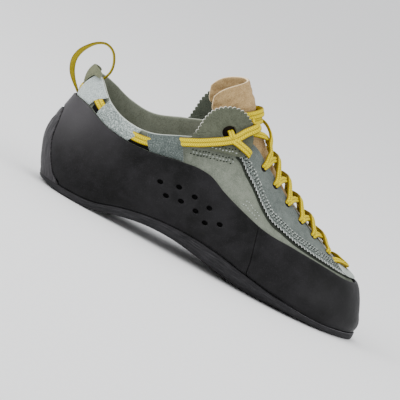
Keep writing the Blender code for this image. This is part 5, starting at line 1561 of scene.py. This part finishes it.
@dataclass
class Tongue:
    """Tongue curled over the instep like half a tube, with a cream cut edge."""

    # x, z of the ridge, radius of the curl and how far round it reaches, in degrees
    rows: tuple = (
        (103.5, 122.0, 18.8, 103.0), (112.5, 112.5, 18.4, 122.0), (121.0, 101.5, 17.6, 92.0),
        (132.0, 90.5, 17.0, 70.0), (145.0, 79.0, 16.0, 62.0), (160.0, 67.8, 16.5, 58.0),
        (177.0, 56.8, 18.0, 54.0), (193.0, 47.8, 19.5, 50.0), (207.0, 40.6, 21.0, 44.0),
        (219.0, 35.2, 23.0, 36.0))
    thickness: float = 2.2
    corner: float = 0.3
    # how much higher the near and the far corner of the top stand, and the steepness of that edge
    rise: tuple = (2.5, 5.5)
    rise_way: tuple = (-0.69, 0.0, 0.725)
    # x, and how far the ridge runs to the inner side, as the throat does
    aside: tuple = ((150.0, 0.0), (195.0, 2.2), (219.0, 4.2))
    # about how long a row and a radian of the curl are
    row_mm: float = 18.0

    def point(self, t: Array, angle: Array, lift: Array) -> tuple[Array, Array]:
        """Points of the tongue and their outward directions; past a quarter turn it runs straight back.

        Args:
            t: Row share along the ridge.
            angle: Angle round from the ridge in radians.
            lift: Distance off the tongue's outer face in millimetres.

        Returns:
            The points and directions.
        """
        data = np.array(self.rows)
        knots = np.arange(len(data), dtype=float)
        t = np.asarray(t, dtype=float)
        shape = t.shape
        flat = np.clip(t.ravel(), 0.0, len(data) - 1.0)
        x, z, radius = (cubic(knots, data[:, k], flat) for k in (0, 1, 2))
        dx = cubic(knots, data[:, 0], flat + 0.05) - cubic(knots, data[:, 0], flat - 0.05)
        dz = cubic(knots, data[:, 1], flat + 0.05) - cubic(knots, data[:, 1], flat - 0.05)
        length = np.hypot(dx, dz)
        up = np.stack([-dz / length, np.zeros_like(dx), dx / length], axis=1)
        aside = np.interp(x, *zip(*self.aside))
        centre = np.stack([x, aside, z], axis=1) - up * radius[:, None]
        angle, lift = np.asarray(angle).ravel(), np.broadcast_to(lift, shape).ravel()
        bend = np.clip(angle, -math.pi / 2.0, math.pi / 2.0)
        out = up * np.cos(bend)[:, None] + np.array([0.0, 1.0, 0.0]) * np.sin(bend)[:, None]
        points = centre + out * (radius + lift)[:, None] - up * (np.abs(angle - bend) * radius)[:, None]
        return points.reshape(shape + (3,)), out.reshape(shape + (3,))

    def build(self) -> None:
        """Build and dress the tongue."""
        last = len(self.rows) - 1.0
        data = np.array(self.rows)
        knots = np.arange(len(data), dtype=float)
        base = edge_shares(165.0, 1.0, 150)[0] * last
        across = edge_shares(70.0, 1.0, 64)[0] * 2.0 - 1.0
        grid_t = base[:, None] + self.corner * np.abs(across[None, :]) ** 8 * np.maximum(
            0.0, 1.0 - base[:, None] / 2.0)
        grid_t = np.minimum(grid_t, last)
        spread = np.radians(cubic(knots, data[:, 3], grid_t.ravel())).reshape(grid_t.shape)
        angle = across[None, :] * spread
        side_mm = (1.0 - np.abs(across))[None, :] * 32.0
        end_mm = (base * self.row_mm)[:, None]
        left = rounding(side_mm, 1.0) * rounding(np.minimum(end_mm, 30.0), 1.0)
        wrinkle = 0.35 * np.sin(grid_t * 7.0 + 1.2 * np.sin(angle * 3.0)) * bump_at(grid_t, 1.6, 1.3)
        wrinkle += 0.2 * np.sin(grid_t * 15.0 + angle * 4.0) * bump_at(grid_t, 1.0, 1.2)
        middle, half = -self.thickness / 2.0, self.thickness / 2.0
        outer, _ = self.point(grid_t, angle, middle + half * left + wrinkle)
        inner, _ = self.point(grid_t, angle, middle - half * left + wrinkle)
        near, far = (np.clip(across * sign, 0.0, 1.0)[None, :] for sign in (-1.0, 1.0))
        reach = (self.rise[0] * near ** 2 + self.rise[1] * far) * np.clip(1.0 - base[:, None] / 1.8, 0.0, 1.0)
        shift = reach[..., None] * np.array(self.rise_way)
        outer, inner = outer + shift, inner + shift
        uv = np.stack([grid_t, angle], axis=2) * self.row_mm
        dress(make_slab("tongue_suede", outer, inner, uv, 1.0 - left, [TONGUE]), TONGUE, "tongue")


@dataclass
class Lacing:
    """The flat braided lace: criss-cross over the tongue, ankle run and bits between the strips."""

    holes = (122.0, 136.5, 149.0, 162.0, 175.4, 187.4, 201.5)
    # height share, share of the way over and lift off the skin, from a hole to the ridge
    half_way: tuple = (
        (2.84, 0.0, 0.2), (2.86, 0.01, 2.2), (2.91, 0.03, 3.2), (2.98, 0.07, 3.4), (3.10, 0.14, 3.0),
        (3.35, 0.26, 2.6), (3.70, 0.42, 2.6))
    upper_lift: float = 1.7
    hole_v: float = 2.83
    width: float = 4.7
    run_width: float = 6.0
    thickness: float = 2.1
    # x, z on the side and lift off the skin
    collar_run: tuple = (
        (76.0, 65.6, 1.0), (80.0, 67.2, 1.5), (82.6, 68.2, 3.4), (86.0, 69.7, 5.4), (91.0, 71.9, 5.9),
        (98.0, 75.8, 5.8), (105.0, 79.8, 5.8), (110.5, 83.8, 5.9), (114.8, 90.2, 6.2), (119.2, 96.6, 5.8))
    medial_rise: float = 3.4
    crossing: tuple = ((1.93, 42.0, 1.9), (1.95, 26.0, 2.0), (1.98, 11.0, 2.2))
    arm: tuple = ((109.5, 83.0, 5.4), (113.0, 82.4, 6.2), (117.0, 81.4, 6.2), (120.6, 80.4, 5.9),
                  (123.0, 79.8, 4.6), (124.4, 79.5, 2.6))
    # row, angle and lift on the tongue
    top_bar: tuple = ((1.6, -66.0, 0.9), (1.64, -50.0, 1.5), (1.66, -30.0, 2.6), (1.66, -12.0, 3.9),
                      (1.65, 4.0, 4.1), (1.63, 22.0, 3.0), (1.58, 46.0, 1.6), (1.54, 66.0, 0.9))
    first_under: tuple = ((2.2, 66.0, 0.8), (2.38, 50.0, 1.8), (2.62, 30.0, 2.5), (2.95, 4.0, 2.7),
                          (3.15, -18.0, 2.3))
    first_over: tuple = ((2.0, 4.0, 1.6), (2.22, 2.0, 4.0), (2.55, -2.0, 5.4), (2.9, -9.0, 5.2),
                         (3.15, -22.0, 4.4))
    # x, height share and lift of the toe bar on each side; height share and lift of the end in the toe hole
    toe_bar: tuple = ((207.0, 2.80, 0.3), (208.6, 2.84, 2.4), (211.5, 2.88, 3.9), (214.6, 2.90, 4.3))
    toe_end: tuple = ((3.05, 4.2), (2.97, 5.4), (2.88, 5.0), (2.79, 3.8), (2.72, 2.0))
    # half turn and height of the bit of lace between the heel strips
    heel_bit: tuple = (0.045, 66.9)
    stub: tuple = ((105.6, 88.4, 1.6), (106.2, 87.6, 3.6), (107.6, 85.6, 5.6), (109.4, 83.6, 6.6))

    def half(self, near: float, far: float, side: Side, lift: float) -> tuple[Array, Array]:
        """Route from a hole on one side to the ridge.

        Args:
            near: x of the hole.
            far: x of the hole that the strand goes to on the other side.
            side: Side of the near hole.
            lift: Extra height at the ridge.

        Returns:
            Points and outward directions.
        """
        v, share, height = np.array(self.half_way).T
        u = LAST.u_at(near + (far - near) * share, v, side)
        height = height + lift * np.clip((v - 2.9) / 0.8, 0.0, 1.0)
        return LAST.off(u, v, height), LAST.outward(u, v)

    def lace(self, name: str, points: Array, normals: Array, *nodes: str, width: float = 0.0) -> None:
        """Build and dress a length of lace."""
        piece = ribbon(name, points, normals, width or self.width, self.thickness, LACE, sides=20,
                       groove=0.25)
        dress(piece, LACE, *nodes)

    def strand(self, number: int, near: float, far: float, side: Side) -> None:
        """Build one strand from a hole to the next hole on the other side."""
        lift = self.upper_lift if side is Side.MEDIAL else 0.0
        points, normals = self.half(near, far, side, lift)
        back, out = self.half(far, near, Side(-side.value), lift)
        self.lace("crossing_braid_%d_%s" % (number, side.name.lower()),
                  np.concatenate([points, back[::-1]]), np.concatenate([normals, out[::-1]]),
                  "lace_bar_%d" % number)

    def side_route(self, rows: tuple, side: Side) -> tuple[Array, Array]:
        """Route on the side of the shoe, from a table of x, z and lift."""
        data = np.array(rows)
        rise = 0.0 if side is Side.LATERAL else self.medial_rise
        u, v = LAST.locate(data[:, 0], data[:, 1] + rise, side)
        return LAST.off(u, v, data[:, 2]), LAST.outward(u, v)

    def build_first(self, tongue: Tongue) -> None:
        """Build the two strands from the ankle to the first holes."""
        for name, rows, side in (("under", self.first_under, Side.MEDIAL),
                                 ("over", self.first_over, Side.LATERAL)):
            row, angle, lift = np.array(rows).T
            on, out = tongue.point(row, np.radians(angle) * -side.value, lift)
            down, level = self.half(self.holes[1], self.holes[1] - 3.0, side, self.upper_lift)
            self.lace("crossing_braid_1_" + name, np.concatenate([on, down[5::-1]]),
                      np.concatenate([out, level[5::-1]]), "lace_bar_1")

    def build_ankle(self, tongue: Tongue) -> None:
        """Build the collar lace over the ears and across the tongue, its arms and the bar above."""
        points, normals = [], []
        for side in Side:
            run, out = self.side_route(self.collar_run, side)
            row, angle, lift = np.array(self.crossing).T
            over, up = tongue.point(row, np.radians(angle) * side.value, lift)
            run, out = np.concatenate([run, over]), np.concatenate([out, up])
            order = 1 if side is Side.LATERAL else -1
            points.append(run[::order])
            normals.append(out[::order])
        self.lace("collar_lace_crossing", np.concatenate(points), np.concatenate(normals), "lace_crossing",
                  width=self.run_width)
        for side in Side:
            name = side.name.lower()
            run, out = self.side_route(self.arm, side)
            self.lace("lace_arm_%s_braid" % name, run, out, "lace_arm_" + name, width=5.4)
            ear_shift = np.array((0.0, 0.0, 0.0) if side is Side.LATERAL else (-3.0, 1.6, 0.0))
            run, out = self.side_route(tuple(map(tuple, np.array(self.stub) + ear_shift)), side)
            self.lace("ear_stub_%s_braid" % name, run, out, width=4.4)
        row, angle, lift = np.array(self.top_bar).T
        over, up = tongue.point(row, np.radians(angle), lift)
        self.lace("ankle_bar_braid", over, up, "lace_bar_top", width=5.8)

    def build_toe(self) -> None:
        """Build the last bar in front of the throat, and the end that goes into the toe hole."""
        rows = np.array(self.toe_bar)
        sides = []
        for side in Side:
            u = LAST.u_at(rows[:, 0], rows[:, 1], side)
            sides.append((LAST.off(u, rows[:, 1], rows[:, 2]), LAST.outward(u, rows[:, 1])))
        u, v = np.array([0.988, 1.012]), np.full(2, 2.90)
        ridge = LAST.off(u, v, np.full(2, 4.6)), LAST.outward(u, v)
        self.lace("toe_bar_braid", np.concatenate([sides[0][0], ridge[0], sides[1][0][::-1]]),
                  np.concatenate([sides[0][1], ridge[1], sides[1][1][::-1]]), "lace_bar_7", width=5.2)
        v, lift = np.array(self.toe_end).T
        u = np.full_like(v, Facing.toe_hole[0][0])
        self.lace("toe_end_braid", LAST.off(u, v, lift), LAST.outward(u, v), width=4.4)

    def build_gaps(self, tunnels: CollarTunnels) -> None:
        """Build the bits of collar lace that show between the strips, each over a dark patch of painted
        shade.
        """
        share = 0.5
        for side in Side:
            ends = tunnels.ends(side)
            for number, (behind, ahead) in enumerate((("heel", "rear"), ("rear", "front")), start=1):
                start, stop = (ends[key][0][at] + (ends[key][1][at] - ends[key][0][at]) * share
                               for key, at in ((behind, 1), (ahead, 0)))
                reach = (stop - start) * 0.5
                turns = np.linspace(start - reach, stop + reach, 9)
                low = LINES.rand_top_v(turns) + 0.02
                lift = 1.3 + 1.5 * np.sin(np.linspace(0.0, math.pi, 9)) ** 2
                nodes = ["collar_lace_%d" % number] if side is Side.LATERAL else []
                v = low + (2.985 - low) * (share + 0.12 * (number - 1))
                name = "%d_%s" % (number, side.name.lower())
                self.lace("collar_lace_gap_" + name, LAST.off(turns, v, lift), LAST.outward(turns, v), *nodes,
                          width=6.0)
                turns = np.linspace(start - reach * 0.6, stop + reach * 0.6, 12)
                low = LINES.rand_top_v(turns) + 0.03
                # dark patch of painted shade under the gap between the strips
                slot = Panel("collar_slot_" + name, turns, low, low + (2.9 - low) * 0.86, 0.08, 0.3, rows=8,
                             radius=0.1, end_radius=0.1, foot_radius=0.1)
                dress(slot.mesh([CEMENT_AND_PAINTED_SHADE]), CEMENT_AND_PAINTED_SHADE)
        reach, height = self.heel_bit
        turns = np.linspace(-reach, reach, 13)
        v = LAST.v_at(turns, lambda x: np.full_like(x, height))
        lift = 1.35 + 0.35 * np.cos(turns / reach * math.pi / 2.0)
        self.lace("collar_lace_heel", LAST.off(turns, v, lift), LAST.outward(turns, v), width=4.2)

    def build_holes(self, seams: Seams) -> None:
        """Build a dark bead of painted shade in the eyelet hole under each end of the strands."""
        for side in Side:
            for number, x in enumerate(self.holes[1:]):
                v = np.array([self.hole_v])
                seams.spot("lace_hole_%d_%s" % (number, side.name.lower()), LAST.u_at(x, v, side), v, 2.05,
                           (5.6, 4.2, 0.5), HOLE_PAINTED_SHADE)

    def build(self, tongue: Tongue, tunnels: CollarTunnels, seams: Seams) -> None:
        """Build the whole lacing."""
        self.build_holes(seams)
        self.build_first(tongue)
        for number in range(2, len(self.holes)):
            for side in Side:
                self.strand(number, self.holes[number - 1], self.holes[number], side)
        self.build_toe()
        self.build_ankle(tongue)
        self.build_gaps(tunnels)


@dataclass
class PullLoop:
    """Thin tape loop at the heel with half a twist."""

    # x, z and turn of the tape's width in degrees
    route: tuple = (
        (7.9, 61.6, 90.0), (6.4, 63.3, 84.0), (1.8, 67.7, 66.0), (-2.4, 73.2, 46.0), (-4.6, 80.5, 38.0),
        (-3.6, 86.5, 44.0), (-0.6, 91.8, 58.0), (4.0, 96.6, 72.0), (9.5, 98.8, 76.0), (15.0, 97.0, 80.0),
        (19.0, 91.6, 82.0), (20.6, 84.0, 86.0), (18.3, 77.4, 90.0), (14.6, 72.6, 90.0), (13.1, 69.0, 90.0))
    width: float = 4.8
    thickness: float = 1.5

    def build(self) -> None:
        """Build and dress the loop."""
        data = np.array(self.route)
        points = np.stack([data[:, 0], np.zeros(len(data)), data[:, 1]], axis=1)
        tangent = np.gradient(points, axis=0)
        tangent /= np.linalg.norm(tangent, axis=1, keepdims=True)
        level = np.tile(np.array([0.0, 1.0, 0.0]), (len(data), 1))
        side = np.cross(level, tangent)
        turn = np.radians(data[:, 2])[:, None]
        across = level * np.sin(turn) + side * np.cos(turn)
        piece = ribbon("pull_loop_tape", points, np.cross(across, tangent), self.width, self.thickness,
                       TAPE, sides=14, step=0.7)
        dress(piece, TAPE, "pull_loop")


@dataclass
class Studio:
    """Pale floor, soft lights and the camera at the photo's angle."""

    azimuth: float = -6.0
    elevation: float = 7.0
    roll: float = 28.5
    target: tuple = (-0.00705, 0.00048, 0.0364)
    distance: float = 2.5
    lens: float = 340.6
    floor_half: float = 14.0
    sky: str = "f2f3f5"
    sky_strength: float = 1.36
    # name, place, size in metres and power of each lamp, and the point that all look at
    lamps: tuple = (("heel_side", (-1.5, -0.7, 0.9), 0.9, 18.0), ("toe_side", (1.6, -0.7, 0.7), 0.9, 7.0),
                    ("top", (-0.5, -0.2, 1.9), 1.0, 16.0))
    aim: tuple = (0.0, 0.0, 0.04)

    def floor(self) -> None:
        """Lay a wide pale floor, finely grained."""
        mesh = bpy.data.meshes.new("floor")
        half = self.floor_half
        mesh.from_pydata([(-half, -half, -0.0002), (half, -half, -0.0002), (half, half, -0.0002),
                          (-half, half, -0.0002)], [], [(0, 1, 2, 3)])
        piece = add_object("floor", mesh)
        mesh.materials.append(Plain("studio_floor_paper", "", base="f5f5f5", dark="f2f2f2", grain_mm=3.0,
                                    roughness=0.9).get())

    def lamp(self, name: str, place: tuple, size: float, power: float) -> None:
        """Hang a soft square lamp that looks at the shoe."""
        light = bpy.data.lights.new(name, "AREA")
        light.size, light.energy = size, power
        lamp = add_object(name, light)
        lamp.location = place
        lamp.rotation_mode = "QUATERNION"
        lamp.rotation_quaternion = (Vector(self.aim) - Vector(place)).to_track_quat("-Z", "Y")

    def camera(self) -> None:
        """Place the camera, rolled as the photo is."""
        a, e, r = (math.radians(value) for value in (self.azimuth, self.elevation, self.roll))
        right = Vector((math.cos(a), math.sin(a), 0.0))
        back = Vector((math.sin(a) * math.cos(e), -math.cos(a) * math.cos(e), math.sin(e)))
        up = back.cross(right)
        turned = right * math.cos(r) + up * math.sin(r)
        upright = up * math.cos(r) - right * math.sin(r)
        data = bpy.data.cameras.new("camera")
        data.lens, data.sensor_width = self.lens, 36.0
        data.clip_start, data.clip_end = 0.05, 60.0
        camera = add_object("camera", data)
        place = Vector(self.target) + back * self.distance
        camera.matrix_world = Matrix(((turned.x, upright.x, back.x, place.x),
                                      (turned.y, upright.y, back.y, place.y),
                                      (turned.z, upright.z, back.z, place.z),
                                      (0.0, 0.0, 0.0, 1.0)))
        bpy.context.scene.camera = camera

    def build(self) -> None:
        """Build the floor, lights and camera."""
        self.floor()
        surround = bpy.data.worlds.new("studio")
        bpy.context.scene.world = surround
        surround.use_nodes = True
        shade = surround.node_tree.nodes["Background"]
        shade.inputs["Color"].default_value = linear(self.sky)
        shade.inputs["Strength"].default_value = self.sky_strength
        for lamp in self.lamps:
            self.lamp(*lamp)
        self.camera()


def main() -> None:
    """Build the shoe piece by piece, then the studio."""
    logging.basicConfig(level=logging.INFO, format="%(message)s")
    Studio().build()
    seams = Seams(Scatter("bead_scatter"))
    UpperShell().build()
    Rands().build()
    Outsole().build()
    Insole().build()
    Facing().build(seams)
    Ears().build(seams)
    tunnels = CollarTunnels()
    tunnels.build()
    HeelTab().build()
    tongue = Tongue()
    tongue.build()
    Lacing().build(tongue, tunnels, seams)
    PullLoop().build()


if __name__ == "__main__":
    main()
